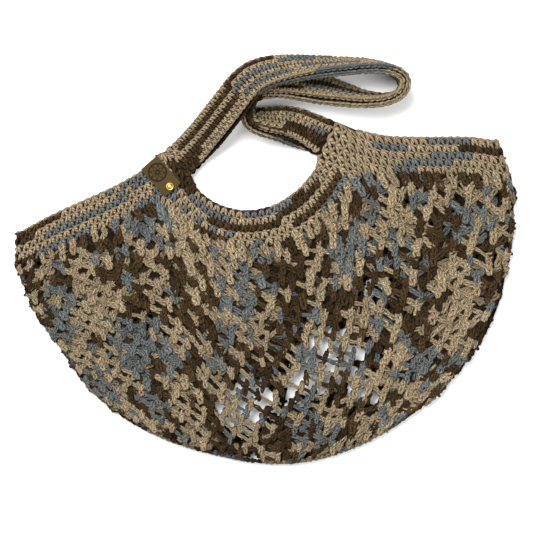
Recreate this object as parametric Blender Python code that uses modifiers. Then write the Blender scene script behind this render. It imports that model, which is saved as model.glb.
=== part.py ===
"""A crocheted mesh bag with two long handles, lying flat on a surface.

The bag is a pouch of open net, folded at its sides and bottom, under a close-worked rim band.
Two straps grow out of the rim, one from each layer. They lie one on the other, run up from the
left, turn back in a hairpin at the right, fold under at the left and come down to the right.
A leather tag is folded over the rim at the left strap and held by a rivet.
Units are metres, +Z is up, and the bag rests on z = 0.
"""

import math

import bmesh
import bpy
from mathutils import Vector

MM = 0.001

# Cloth and layers
CLOTH = 3.4 * MM
LAYER_GAP = 3.2 * MM
SEAM_GAP = 0.4 * MM
CORNER_GAP = 0.7 * MM
ROOT_GAP = 0.6 * MM
BACK_Z = CLOTH / 2
FRONT_Z = BACK_Z + CLOTH + LAYER_GAP
FOLD_RADIUS = (FRONT_Z - BACK_Z) / 2
FOLD_REACH = FOLD_RADIUS + CLOTH / 2
FOLD_STEPS = 4
WAVE = 0.6 * MM

# Moves the tables' frame so that the finished bag is centred on the origin
CENTRE = Vector((2.0126, 0.2177)) * MM

# Net
NET_COLUMNS = 11
NET_ROWS = 7
HOLE_SHARE_SIDE = 0.42
HOLE_SHARE_MIDDLE = 0.60

# Rim band
STEPS_PER_SECTION = 2
RIM_STRIPS = 3
LEFT_STRAP = (6, 7)
RIGHT_STRAP = (15, 16)
JOIN_LEFT = Vector((-0.985, -0.174))
JOIN_RIGHT = Vector((0.985, 0.174))

# Sections of the rim band from the left corner to the right one, in millimetres:
# the worked edge (outer) and the edge that meets the net (inner)
RIM_SECTIONS = [
    # outer x, outer y, inner x, inner y
    (-204.0, 25.5, -204.9, -6.0),
    (-184.5, 36.6, -185.3, 4.3),
    (-161.5, 47.6, -159.8, 16.2),
    (-139.4, 57.4, -136.9, 27.2),
    (-119.0, 67.2, -116.5, 37.4),
    (-101.2, 78.2, -100.3, 45.1),
    (-85.9, 91.8, -88.4, 47.6),
    (-61.2, 69.7, -76.5, 41.7),
    (-51.9, 57.8, -62.9, 29.8),
    (-36.6, 48.0, -45.1, 17.9),
    (-17.9, 43.4, -22.1, 11.9),
    (0.0, 45.1, 2.6, 12.8),
    (17.0, 52.3, 25.5, 19.6),
    (30.6, 62.9, 45.1, 32.3),
    (40.8, 74.8, 59.5, 48.5),
    (46.8, 85.9, 70.6, 63.8),
    (62.9, 119.0, 84.2, 71.4),
    (79.9, 111.8, 98.6, 73.1),
    (101.2, 106.7, 115.6, 73.1),
    (125.0, 105.4, 136.0, 73.1),
    (149.6, 105.4, 158.1, 73.1),
    (173.4, 105.4, 181.1, 71.4),
    (193.0, 102.9, 205.7, 67.2),
]

# The bag's silhouette below the rim, from the left corner round the bottom to the right one
SILHOUETTE = [
    # x, y
    (-210.0, -6.0),
    (-201.5, -28.9),
    (-191.3, -49.3),
    (-176.0, -69.7),
    (-163.2, -90.1),
    (-147.1, -110.5),
    (-122.4, -130.9),
    (-91.0, -148.8),
    (-51.9, -162.4),
    (-6.8, -171.7),
    (32.3, -171.7),
    (68.9, -162.4),
    (102.0, -147.1),
    (132.6, -125.8),
    (158.1, -103.7),
    (178.5, -79.9),
    (193.0, -56.1),
    (203.2, -28.9),
    (208.3, 1.7),
    (212.5, 32.3),
    (214.2, 62.9),
]
LEFT_SIDE_END = 4
RIGHT_SIDE_START = 15

# Route of the doubled strap from its left root to its right one. Heading is the plan angle of the
# strap's outer edge, drop is how far that edge hangs below level, and slip is how far the back
# handle sits out towards the hand hole.
ROUTE_COLUMNS = ("x", "y", "z", "heading", "drop", "width", "slip")
ROUTE = [
    (-73.5, 80.8, 5.0, 138, 0, 33.2, 0.0),
    (-61.5, 93.6, 7.5, 138, 0, 30.0, 1.5),
    (-48.8, 106.9, 17.5, 138, 0, 28.5, 3.0),
    (-36.8, 120.2, 30.0, 140, 0, 28.5, 3.0),
    (-26.0, 133.0, 37.0, 140, 2, 28.5, 2.5),
    (-16.6, 144.0, 38.5, 135, 8, 28.5, 1.5),
    (-6.5, 152.0, 37.0, 119, 18, 28.5, 1.0),
    (7.0, 157.0, 33.0, 101, 31, 28.5, 0.5),
    (23.5, 160.0, 28.0, 94, 44, 28.5, 0.5),
    (43.8, 162.0, 23.0, 91, 56, 28.5, 0.5),
    (64.8, 163.0, 19.0, 90, 65, 28.5, 0.5),
    (83.5, 163.5, 16.7, 90, 72, 28.5, 0.5),
    (100.8, 162.0, 15.4, 90, 79, 28.5, 0.0),
    (113.2, 157.2, 14.8, 90, 85, 28.5, 0.0),
    (118.6, 149.2, 14.6, 90, 90, 28.5, 0.0),
    (114.5, 140.0, 14.8, 90, 86, 28.5, 0.0),
    (102.0, 135.4, 15.4, 90, 79, 28.5, -1.0),
    (85.0, 135.6, 15.3, 90, 69, 28.5, -2.0),
    (68.0, 138.6, 14.5, 90, 57, 28.5, -3.0),
    (49.3, 143.0, 13.2, 90, 43, 28.5, -3.0),
    (34.0, 145.7, 13.6, 88, 42, 28.5, -2.0),
    (20.0, 147.2, 15.0, 86, 46, 28.5, -1.0),
    (8.0, 146.3, 17.0, 82, 52, 28.5, 0.0),
    (-2.8, 142.4, 18.4, 78, 58, 28.5, 0.0),
    (-9.8, 135.4, 18.0, 76, 62, 28.5, 0.0),
    (-12.2, 127.6, 15.8, 74, 63, 28.5, 0.5),
    (-10.2, 121.4, 14.3, 72, 58, 28.5, 1.0),
    (-3.8, 117.8, 13.6, 72, 50, 28.5, 2.0),
    (6.0, 116.8, 12.0, 72, 38, 28.5, 3.5),
    (16.5, 117.0, 9.6, 74, 25, 28.5, 5.0),
    (27.5, 115.4, 7.2, 74, 12, 28.5, 5.5),
    (38.0, 111.5, 5.7, 72, 4, 29.5, 4.5),
    (46.8, 107.0, 5.2, 67, 0, 32.0, 2.0),
    (54.9, 102.5, 5.0, 64, 0, 36.0, 0.0),
]
STRAP_SPREAD = 2.45 * MM
STRAP_SPREAD_ROOT = FOLD_RADIUS
ROOT_BLEND = 34.0 * MM
STRAP_STRIPS = 2

# Leather tag and rivet
TAG_CORNER = Vector((-96.7, 82.8))
TAG_DIRECTION = Vector((0.66, -0.751))
TAG_WIDTH = 18.0 * MM
TAG_LENGTH = 29.0 * MM
TAG_THICKNESS = 1.6 * MM
TAG_END_RADIUS = 2.2 * MM
TAG_BEND_RADIUS = 1.1 * MM
TAG_CLEARANCE = 0.3 * MM
RIVET_FROM_EDGE = 25.2 * MM
RIVET_CAP_RADIUS = 3.0 * MM
RIVET_CAP_HEIGHT = 1.3 * MM
RIVET_POST_RADIUS = 1.1 * MM
RIVET_TAIL_RADIUS = 2.4 * MM
RIVET_TAIL_HEIGHT = 0.6 * MM
RIVET_CLEARANCE = 0.3 * MM

MATERIALS = {
    # name: (red, green, blue), roughness, metallic
    "cotton_net": ((0.36, 0.29, 0.21), 0.95, 0.0),
    "cotton_band": ((0.42, 0.34, 0.24), 0.95, 0.0),
    "leather": ((0.24, 0.16, 0.09), 0.6, 0.0),
    "brass": ((0.78, 0.6, 0.26), 0.3, 1.0),
}


def clear_scene():
    for obj in list(bpy.data.objects):
        bpy.data.objects.remove(obj)


def new_collection(name):
    collection = bpy.data.collections.new(name)
    bpy.context.scene.collection.children.link(collection)
    return collection


def material(name):
    colour, roughness, metallic = MATERIALS[name]
    made = bpy.data.materials.get(name)
    if made is None:
        made = bpy.data.materials.new(name)
        made.use_nodes = True
        shader = made.node_tree.nodes["Principled BSDF"]
        shader.inputs["Base Color"].default_value = (*colour, 1)
        shader.inputs["Roughness"].default_value = roughness
        shader.inputs["Metallic"].default_value = metallic
    return made


def object_from(bm, name, collection, finish):
    """Turns a bmesh into a named object, moved from the tables' frame to the bag's own."""
    for vert in bm.verts:
        vert.co.x -= CENTRE.x
        vert.co.y -= CENTRE.y
    mesh = bpy.data.meshes.new(name)
    bm.to_mesh(mesh)
    bm.free()
    obj = bpy.data.objects.new(name, mesh)
    mesh.materials.append(material(finish))
    collection.objects.link(obj)
    return obj


def thicken(obj, thickness):
    """Gives an open surface the cloth's thickness, half to each side."""
    shell = obj.modifiers.new("Thickness", "SOLIDIFY")
    shell.thickness = thickness
    shell.offset = 0
    shell.use_even_offset = True
    shell.use_quality_normals = True
    return shell


def smooth_point(rows, place):
    """The point at a place along a Catmull-Rom curve through the rows, each a tuple of numbers."""
    last = len(rows) - 1
    start = min(int(place), last - 1)
    t = place - start
    b, c = Vector(rows[start]), Vector(rows[start + 1])
    a = Vector(rows[start - 1]) if start > 0 else 2 * b - c
    d = Vector(rows[start + 2]) if start + 2 <= last else 2 * c - b
    return 0.5 * (2 * b + (c - a) * t + (2 * a - 5 * b + 4 * c - d) * t**2 + (3 * b - a - 3 * c + d) * t**3)


def even_points(points, count):
    """Count + 1 points spaced evenly along a polyline."""
    lengths = [0.0]
    for a, b in zip(points, points[1:]):
        lengths.append(lengths[-1] + (b - a).length)
    found = []
    k = 0
    for i in range(count + 1):
        target = lengths[-1] * i / count
        while k < len(points) - 2 and lengths[k + 1] < target:
            k += 1
        share = (target - lengths[k]) / (lengths[k + 1] - lengths[k])
        found.append(points[k].lerp(points[k + 1], share))
    return found


def rim_inner(place):
    """The rim's inner edge, where it meets the net, at a place counted in sections."""
    return smooth_point([(row[2] * MM, row[3] * MM) for row in RIM_SECTIONS], place)


def rim_outer(place):
    """The rim's worked edge. It runs straight across each strap's root."""
    bounds = [0, *LEFT_STRAP, *RIGHT_STRAP, len(RIM_SECTIONS) - 1]
    for low, high in zip(bounds, bounds[1:]):
        if place <= high:
            rows = [(row[0] * MM, row[1] * MM) for row in RIM_SECTIONS[low : high + 1]]
            return smooth_point(rows, place - low)


def fold_line():
    """The left side, bottom and right side along which the pouch's front turns to its back."""
    rows = [(x * MM, y * MM) for x, y in SILHOUETTE]
    samples_per_row = 8
    last = len(rows) - 1
    steps = last * samples_per_row
    outer = [smooth_point(rows, i / samples_per_row) for i in range(steps + 1)]
    inner = []
    for i, point in enumerate(outer):
        along = (outer[min(i + 1, steps)] - outer[max(i - 1, 0)]).normalized()
        inner.append(point + Vector((-along.y, along.x)) * FOLD_REACH)
    left = [rim_inner(0)] + inner[1 : LEFT_SIDE_END * samples_per_row + 1]
    bottom = inner[LEFT_SIDE_END * samples_per_row : RIGHT_SIDE_START * samples_per_row + 1]
    right = inner[RIGHT_SIDE_START * samples_per_row : -1] + [rim_inner(len(RIM_SECTIONS) - 1)]
    return left, bottom, right[::-1]


def along_points(points, share):
    """The point at a share of a list of evenly spaced points."""
    place = min(max(share, 0.0), 1.0) * (len(points) - 1)
    k = min(int(place), len(points) - 2)
    return points[k].lerp(points[k + 1], place - k)


class NetPanel:
    """Maps a unit square onto one layer of the net: u from left to right, v from rim to bottom."""

    def __init__(self):
        fine = 96
        left, bottom, right = fold_line()
        widen = Vector((0, -CORNER_GAP))
        left[0], right[0] = self.top(0) + widen, self.top(1) + widen
        self.left = even_points(left, fine)
        self.bottom = even_points(bottom, fine)
        self.right = even_points(right, fine)

    def top(self, u):
        place = u * (len(RIM_SECTIONS) - 1)
        step = 0.02
        ahead = rim_inner(min(place + step, len(RIM_SECTIONS) - 1))
        behind = rim_inner(max(place - step, 0))
        along = (ahead - behind).normalized()
        return rim_inner(place) + Vector((along.y, -along.x)) * SEAM_GAP

    def plan(self, u, v):
        """A Coons patch between the rim's inner edge and the fold line."""
        top, bottom = self.top(u), along_points(self.bottom, u)
        left, right = along_points(self.left, v), along_points(self.right, v)
        corners = (
            self.top(0) * (1 - u) * (1 - v)
            + self.top(1) * u * (1 - v)
            + self.bottom[0] * (1 - u) * v
            + self.bottom[-1] * u * v
        )
        return top * (1 - v) + bottom * v + left * (1 - u) + right * u - corners

    def front_height(self, u, v):
        """The front layer's soft waves, which die away at the rim and at the folds."""
        edge = math.sin(math.pi * u) * math.sin(math.pi * v)
        wave = math.sin(5.2 * math.pi * u + 2.1 * v) * math.sin(2.6 * math.pi * v + 0.8)
        return FRONT_Z + WAVE * edge * (0.4 + 0.6 * wave)


def net_layer():
    """One flat layer of diamond net on a unit square, its holes not yet cut, and its diamonds."""
    bm = bmesh.new()
    bmesh.ops.create_grid(bm, x_segments=NET_COLUMNS, y_segments=NET_ROWS, size=0.5)
    for vert in bm.verts:
        vert.co.x += 0.5
        vert.co.y = 0.5 - vert.co.y
    grid_edges = [edge for edge in bm.edges if not edge.is_boundary]
    bmesh.ops.poke(bm, faces=bm.faces[:])
    bmesh.ops.dissolve_edges(bm, edges=grid_edges, use_verts=False)
    sides = [e for e in bm.edges if e.is_boundary and abs(e.verts[0].co.x - e.verts[1].co.x) < 1e-6]
    ends = [e for e in bm.edges if e.is_boundary and abs(e.verts[0].co.y - e.verts[1].co.y) < 1e-6]
    bmesh.ops.bisect_edges(bm, edges=ends, cuts=2 * STEPS_PER_SECTION - 1)
    bmesh.ops.bisect_edges(bm, edges=sides, cuts=1)
    return bm


def boundary_share(vert):
    """Where a vertex lies on the square's left, bottom and right sides, or None."""
    near = 1e-5
    if vert.co.x < near:
        return ("left", vert.co.y)
    if vert.co.x > 1 - near:
        return ("right", vert.co.y)
    if vert.co.y > 1 - near:
        return ("bottom", vert.co.x)
    return None


def side_normals(panel):
    """A function giving the plan direction that faces outward at a place on the fold line."""
    loop = panel.left + panel.bottom[1:] + panel.right[::-1][1:]
    count = {"left": len(panel.left) - 1, "bottom": len(panel.bottom) - 1}
    start = {"left": 0, "bottom": count["left"], "right": count["left"] + count["bottom"]}

    def outward(side, share):
        along_share = 1 - share if side == "right" else share
        k = start[side] + round(along_share * count.get(side, len(panel.right) - 1))
        if k == 0:
            return JOIN_LEFT
        if k == len(loop) - 1:
            return JOIN_RIGHT
        reach = 4
        along = (loop[min(k + reach, len(loop) - 1)] - loop[max(k - reach, 0)]).normalized()
        return Vector((along.y, -along.x))

    return outward


def fold_offset(step):
    """How far out and how high the fold's middle surface lies after a step from front to back."""
    angle = math.pi * step / FOLD_STEPS
    return FOLD_RADIUS * math.sin(angle), BACK_Z + FOLD_RADIUS * (1 + math.cos(angle))


def build_net(collection):
    """The pouch of net: a front layer, a back layer and the folds that join them."""
    panel = NetPanel()
    outward = side_normals(panel)
    front = net_layer()
    back = front.copy()
    rings = {}
    for layer in (front, back):
        is_front = layer is front
        for vert in layer.verts:
            u, v = vert.co.x, vert.co.y
            side = boundary_share(vert)
            plan = panel.plan(u, v)
            if is_front and side:
                rings[(round(plan.x, 6), round(plan.y, 6))] = (plan, outward(*side))
            vert.co = (plan.x, plan.y, panel.front_height(u, v) if is_front else BACK_Z)
        for face in layer.faces:
            if (face.normal.z > 0) != is_front:
                face.normal_flip()
        layer.normal_update()
        for face in layer.faces:
            if (face.normal.z > 0) != is_front:
                face.normal_flip()
    edges = [e for e in front.edges if e.is_boundary and all(on_ring(v, rings) for v in e.verts)]
    for step in range(1, FOLD_STEPS + 1):
        made = bmesh.ops.extrude_edge_only(front, edges=edges)["geom"]
        edges = [g for g in made if isinstance(g, bmesh.types.BMEdge)]
        out, height = fold_offset(step)
        for vert in {v for e in edges for v in e.verts}:
            plan, direction = ring_at(vert, rings)
            place = plan + direction * out
            vert.co = (place.x, place.y, height)
    merged = bpy.data.meshes.new("back_layer")
    back.to_mesh(merged)
    back.free()
    front.from_mesh(merged)
    bpy.data.meshes.remove(merged)
    bmesh.ops.remove_doubles(front, verts=front.verts[:], dist=0.02 * MM)
    bmesh.ops.recalc_face_normals(front, faces=front.faces[:])
    cut_holes(front)
    obj = object_from(front, "net_body", collection, "cotton_net")
    thicken(obj, CLOTH)
    return obj


def on_ring(vert, rings):
    return (round(vert.co.x, 6), round(vert.co.y, 6)) in rings


def ring_at(vert, rings):
    """The ring entry that a freshly extruded vertex came from."""
    return min(rings.values(), key=lambda entry: (entry[0] - vert.co.xy).length - fold_bonus(entry, vert))


def fold_bonus(entry, vert):
    """Counts a vertex as lying on its entry's own outward ray, so that its ring is found again."""
    offset = vert.co.xy - entry[0]
    return max(offset.dot(entry[1]), 0.0)


def cut_holes(bm):
    """Opens a hole in each whole diamond of the two layers."""
    bm.faces.ensure_lookup_table()
    diamonds = [f for f in bm.faces if len(f.verts) == 4 and is_diamond(f)]
    bmesh.ops.inset_individual(bm, faces=diamonds, thickness=0.0)
    for face in diamonds:
        centre = face.calc_center_median()
        middle = max(0.0, 1 - abs(centre.x) / (200 * MM))
        share = HOLE_SHARE_SIDE + (HOLE_SHARE_MIDDLE - HOLE_SHARE_SIDE) * middle**0.5
        for vert in face.verts:
            vert.co = centre + (vert.co - centre) * share
    bmesh.ops.delete(bm, geom=diamonds, context="FACES")


def is_diamond(face):
    """True for a whole diamond: level, and touching no fold and no edge of the cloth."""
    return abs(face.normal.z) > 0.9 and face.calc_area() > 60 * MM * MM and not any(
        edge.is_boundary for edge in face.edges
    )


def build_rim(collection):
    """The close-worked band: one loop of cloth round the mouth, folded at the two corners."""
    last = len(RIM_SECTIONS) - 1
    places = [i / STEPS_PER_SECTION for i in range(last * STEPS_PER_SECTION + 1)]
    columns = []
    for place in places:
        columns.append(rim_column(place, Vector((0, 0)), 0.0, FRONT_Z))
    for step in range(1, FOLD_STEPS):
        out, height = fold_offset(step)
        columns.append(rim_column(last, JOIN_RIGHT, out, height))
    for place in reversed(places):
        columns.append(rim_column(place, Vector((0, 0)), 0.0, BACK_Z))
    for step in range(FOLD_STEPS - 1, 0, -1):
        out, height = fold_offset(step)
        columns.append(rim_column(0, JOIN_LEFT, out, height))
    bm = bmesh.new()
    rows = [[bm.verts.new(point) for point in column] for column in columns]
    for k, column in enumerate(rows):
        following = rows[(k + 1) % len(rows)]
        for j in range(RIM_STRIPS):
            bm.faces.new((column[j], following[j], following[j + 1], column[j + 1]))
    bmesh.ops.recalc_face_normals(bm, faces=bm.faces[:])
    obj = object_from(bm, "rim_band", collection, "cotton_band")
    thicken(obj, CLOTH)
    return obj


def rim_column(place, join, out, height):
    """The points across the band at one place, moved out by a fold. The corner's fold swings
    from the net's outward direction at the inner edge to square with the corner at the outer."""
    inner, outer = rim_inner(place), rim_outer(place)
    points = []
    for j in range(RIM_STRIPS + 1):
        share = j / RIM_STRIPS
        plan = inner.lerp(outer, share)
        if out:
            edge = (outer - inner).normalized()
            square = Vector((-edge.y, edge.x)) if join.x < 0 else Vector((edge.y, -edge.x))
            plan = plan + join.lerp(square, share).normalized() * out
        points.append((plan.x, plan.y, height))
    return points


def route_rows():
    return [dict(zip(ROUTE_COLUMNS, row)) for row in ROUTE]


def strap_stations(steps_per_row=4):
    """Centre, width direction, facing direction, half width, slip and spread along the strap."""
    rows = ROUTE
    count = (len(rows) - 1) * steps_per_row
    samples = [smooth_point(rows, i / steps_per_row) for i in range(count + 1)]
    centres = [Vector(s[:3]) * MM for s in samples]
    run = [0.0]
    for a, b in zip(centres, centres[1:]):
        run.append(run[-1] + (b - a).length)
    stations = []
    for i, sample in enumerate(samples):
        heading, drop = math.radians(sample[3]), math.radians(sample[4])
        across = Vector(
            (math.cos(heading) * math.cos(drop), math.sin(heading) * math.cos(drop), -math.sin(drop))
        )
        if i in (0, count):
            along = Vector((across.y, -across.x, 0)).normalized()
        else:
            along = (centres[i + 1] - centres[i - 1]).normalized()
        across = (across - along * across.dot(along)).normalized()
        facing = along.cross(across)
        root = max(0.0, 1 - min(run[i], run[-1] - run[i]) / ROOT_BLEND)
        spread = STRAP_SPREAD + (STRAP_SPREAD_ROOT - STRAP_SPREAD) * root * root * (3 - 2 * root)
        stations.append((centres[i], across, facing, sample[5] * MM / 2, sample[6] * MM, spread, along))
    return stations


def build_strap(name, side, collection):
    """One handle: side is 1 for the front layer's and -1 for the back layer's."""
    bm = bmesh.new()
    columns = []
    stations = strap_stations()
    for k, (centre, across, facing, half, slip, spread, along) in enumerate(stations):
        middle = centre + facing * spread * side
        if side < 0:
            middle = middle - across * slip
        if k == 0:
            middle = middle + along * ROOT_GAP
        if k == len(stations) - 1:
            middle = middle - along * ROOT_GAP
        column = []
        for j in range(STRAP_STRIPS + 1):
            share = 2 * j / STRAP_STRIPS - 1
            column.append(bm.verts.new(middle + across * half * share))
        columns.append(column)
    for a, b in zip(columns, columns[1:]):
        for j in range(STRAP_STRIPS):
            bm.faces.new((a[j], b[j], b[j + 1], a[j + 1]))
    obj = object_from(bm, name, collection, "cotton_band")
    thicken(obj, CLOTH)
    return obj


def tag_frame():
    """The tag's origin on the rim's outer edge and its two plan directions."""
    inward = TAG_DIRECTION.normalized()
    sideways = Vector((-inward.y, inward.x))
    return TAG_CORNER * MM, inward, sideways


def tag_profile():
    """The folded leather seen from its side: distance in from the rim's edge, and height."""
    half = CLOTH / 2 + TAG_CLEARANCE + TAG_THICKNESS / 2
    turn = -(TAG_CLEARANCE + TAG_THICKNESS / 2)
    steps = 4
    upper = [(TAG_LENGTH, half)]
    for share in (0.3, 0.65, 0.9):
        upper.append((TAG_LENGTH - TAG_END_RADIUS * share, half))
    upper.append((TAG_LENGTH - TAG_END_RADIUS * 1.2, half))
    for i in range(steps + 1):
        angle = math.pi / 2 * i / steps
        across = turn + TAG_BEND_RADIUS * (1 - math.sin(angle))
        upper.append((across, half - TAG_BEND_RADIUS * (1 - math.cos(angle))))
    lower = [(across, -height) for across, height in reversed(upper)]
    return upper + lower


def tag_half_width(across):
    """Half the tag's width, which draws in at its rounded end."""
    past = across - (TAG_LENGTH - TAG_END_RADIUS)
    if past <= 0:
        return TAG_WIDTH / 2
    rounded = math.sqrt(max(TAG_END_RADIUS**2 - past**2, 0.0))
    return TAG_WIDTH / 2 - TAG_END_RADIUS + rounded


def build_tag(collection, post_hole):
    origin, inward, sideways = tag_frame()
    bm = bmesh.new()
    columns = []
    for across, height in tag_profile():
        half = tag_half_width(across)
        plan = origin + inward * across
        ends = []
        for side in (-1, 1):
            place = plan + sideways * half * side
            ends.append(bm.verts.new((place.x, place.y, FRONT_Z + height)))
        columns.append(ends)
    for a, b in zip(columns, columns[1:]):
        bm.faces.new((a[0], b[0], b[1], a[1]))
    obj = object_from(bm, "leather_tag", collection, "leather")
    thicken(obj, TAG_THICKNESS)
    cut_with(obj, post_hole)
    return obj


def rivet_place():
    origin, inward, _ = tag_frame()
    return origin + inward * RIVET_FROM_EDGE - CENTRE


def build_post_hole(cutters):
    """The hole that the rivet's post passes through in the leather and the cloth."""
    place = rivet_place()
    bm = bmesh.new()
    segments = 12
    radius = (RIVET_POST_RADIUS + RIVET_CLEARANCE) / math.cos(math.pi / segments)
    bmesh.ops.create_cone(
        bm, cap_ends=True, segments=segments, radius1=radius, radius2=radius, depth=3 * CLOTH
    )
    mesh = bpy.data.meshes.new("post_hole")
    bm.to_mesh(mesh)
    bm.free()
    cutter = bpy.data.objects.new("post_hole", mesh)
    lowest = FRONT_Z - CLOTH / 2 - TAG_THICKNESS - 2 * TAG_CLEARANCE
    cutter.location = (place.x, place.y, lowest + 1.5 * CLOTH)
    cutter.hide_render = True
    cutter.display_type = "WIRE"
    cutters.objects.link(cutter)
    return cutter


def cut_with(obj, cutter):
    cut = obj.modifiers.new("Post hole", "BOOLEAN")
    cut.operation = "DIFFERENCE"
    cut.object = cutter
    cut.solver = "EXACT"


def build_rivet(collection):
    """A domed cap on the leather, its post, and the flat tail under the folded leather."""
    seat = FRONT_Z + CLOTH / 2 + TAG_THICKNESS + TAG_CLEARANCE + RIVET_CLEARANCE
    foot = FRONT_Z - CLOTH / 2 - TAG_THICKNESS - TAG_CLEARANCE - RIVET_CLEARANCE
    profile = [(0.0, seat + RIVET_CAP_HEIGHT)]
    for angle in (22, 45, 68):
        turn = math.radians(angle)
        profile.append((RIVET_CAP_RADIUS * math.sin(turn), seat + RIVET_CAP_HEIGHT * math.cos(turn)))
    profile += [
        (RIVET_CAP_RADIUS, seat),
        (RIVET_POST_RADIUS, seat),
        (RIVET_POST_RADIUS, foot),
        (RIVET_TAIL_RADIUS, foot),
        (RIVET_TAIL_RADIUS, foot - RIVET_TAIL_HEIGHT),
        (0.0, foot - RIVET_TAIL_HEIGHT),
    ]
    bm = bmesh.new()
    verts = [bm.verts.new((radius, 0, height)) for radius, height in profile]
    for a, b in zip(verts, verts[1:]):
        bm.edges.new((a, b))
    mesh = bpy.data.meshes.new("rivet")
    bm.to_mesh(mesh)
    bm.free()
    mesh.materials.append(material("brass"))
    obj = bpy.data.objects.new("rivet", mesh)
    place = rivet_place()
    obj.location = (place.x, place.y, 0)
    collection.objects.link(obj)
    turn = obj.modifiers.new("Turned", "SCREW")
    turn.steps = 20
    turn.render_steps = 20
    turn.use_merge_vertices = True
    turn.merge_threshold = 0.00002
    turn.use_normal_calculate = True
    turn.use_normal_flip = True
    return obj


def main():
    clear_scene()
    bag = new_collection("mesh_bag")
    cutters = new_collection("cutters")
    post_hole = build_post_hole(cutters)
    build_net(bag)
    rim = build_rim(bag)
    cut_with(rim, post_hole)
    build_strap("handle_front", 1, bag)
    build_strap("handle_back", -1, bag)
    build_tag(bag, post_hole)
    build_rivet(bag)


main()
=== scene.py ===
"""The looks of a crocheted mesh bag: every stitch of its rim, handles and net in plied cotton,
a folded leather tag with a stamped rosette, and a domed brass rivet.

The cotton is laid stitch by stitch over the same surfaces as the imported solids. Units are metres,
but the tables of places and the shapes of single stitches are in millimetres.
"""

import math

import bpy
import numpy as np
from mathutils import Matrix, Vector


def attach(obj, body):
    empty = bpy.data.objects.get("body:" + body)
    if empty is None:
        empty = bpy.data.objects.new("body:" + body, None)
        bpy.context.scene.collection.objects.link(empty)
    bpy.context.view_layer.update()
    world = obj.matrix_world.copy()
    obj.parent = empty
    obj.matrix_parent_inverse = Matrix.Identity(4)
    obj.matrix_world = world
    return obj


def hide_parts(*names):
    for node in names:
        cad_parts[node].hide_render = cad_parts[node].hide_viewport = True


bl_info = {
    "name": "Crocheted mesh bag",
    "version": (1, 0, 0),
    "blender": (4, 5, 0),
    "location": "View3D > Sidebar > Mesh bag",
    "description": "Dresses the flat-lying mesh bag in crochet, leather and brass",
    "category": "Add Mesh",
}

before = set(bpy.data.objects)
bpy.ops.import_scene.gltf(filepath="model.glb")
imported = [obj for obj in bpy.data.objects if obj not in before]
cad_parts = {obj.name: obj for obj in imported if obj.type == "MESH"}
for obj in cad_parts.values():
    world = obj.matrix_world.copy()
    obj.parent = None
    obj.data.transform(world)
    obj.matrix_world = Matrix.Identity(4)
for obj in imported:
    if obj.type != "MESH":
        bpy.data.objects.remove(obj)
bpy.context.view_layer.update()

MM = 0.001

# Cloth and layers, as in the solids
CLOTH = 3.4 * MM
LAYER_GAP = 3.2 * MM
BACK_Z = CLOTH / 2
FRONT_Z = BACK_Z + CLOTH + LAYER_GAP
FOLD_RADIUS = (FRONT_Z - BACK_Z) / 2
FOLD_REACH = FOLD_RADIUS + CLOTH / 2
FOLD_STEPS = 8
CENTRE = np.array((2.0126, 0.2177)) * MM

# Rim band
LEFT_STRAP = (6, 7)
RIGHT_STRAP = (15, 16)
JOIN_LEFT = np.array((-0.985, -0.174))
JOIN_RIGHT = np.array((0.985, 0.174))
RIM_SECTIONS = [
    # worked edge x, y, and the edge that meets the net x, y, in millimetres
    (-204.0, 25.5, -204.9, -6.0),
    (-184.5, 36.6, -185.3, 4.3),
    (-161.5, 47.6, -159.8, 16.2),
    (-139.4, 57.4, -136.9, 27.2),
    (-119.0, 67.2, -116.5, 37.4),
    (-101.2, 78.2, -100.3, 45.1),
    (-85.9, 91.8, -88.4, 47.6),
    (-61.2, 69.7, -76.5, 41.7),
    (-51.9, 57.8, -62.9, 29.8),
    (-36.6, 48.0, -45.1, 17.9),
    (-17.9, 43.4, -22.1, 11.9),
    (0.0, 45.1, 2.6, 12.8),
    (17.0, 52.3, 25.5, 19.6),
    (30.6, 62.9, 45.1, 32.3),
    (40.8, 74.8, 59.5, 48.5),
    (46.8, 85.9, 70.6, 63.8),
    (62.9, 119.0, 84.2, 71.4),
    (79.9, 111.8, 98.6, 73.1),
    (101.2, 106.7, 115.6, 73.1),
    (125.0, 105.4, 136.0, 73.1),
    (149.6, 105.4, 158.1, 73.1),
    (173.4, 105.4, 181.1, 71.4),
    (193.0, 102.9, 205.7, 67.2),
]

# The rounded end of the mouth on the right
CORNER_CENTRE = np.array((191.0, 93.5))
CORNER_RADIUS = 11.5 * MM

# Where the rim's corners lie behind the straps' roots, and the way in from there
ROOT_PEAKS = [((-86.0, 90.5), (0.30, -0.954)), ((66.0, 114.0), (-0.45, -0.893))]

# The silhouette below the rim, and the rows of it where the sides end and the bottom starts
SILHOUETTE = [
    (-210.0, -6.0),
    (-201.5, -28.9),
    (-191.3, -49.3),
    (-176.0, -69.7),
    (-163.2, -90.1),
    (-147.1, -110.5),
    (-122.4, -130.9),
    (-91.0, -148.8),
    (-51.9, -162.4),
    (-6.8, -171.7),
    (32.3, -171.7),
    (68.9, -162.4),
    (102.0, -147.1),
    (132.6, -125.8),
    (158.1, -103.7),
    (178.5, -79.9),
    (193.0, -56.1),
    (203.2, -28.9),
    (208.3, 1.7),
    (212.5, 32.3),
    (214.2, 62.9),
]
LEFT_SIDE_END = 6
RIGHT_SIDE_START = 13

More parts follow.
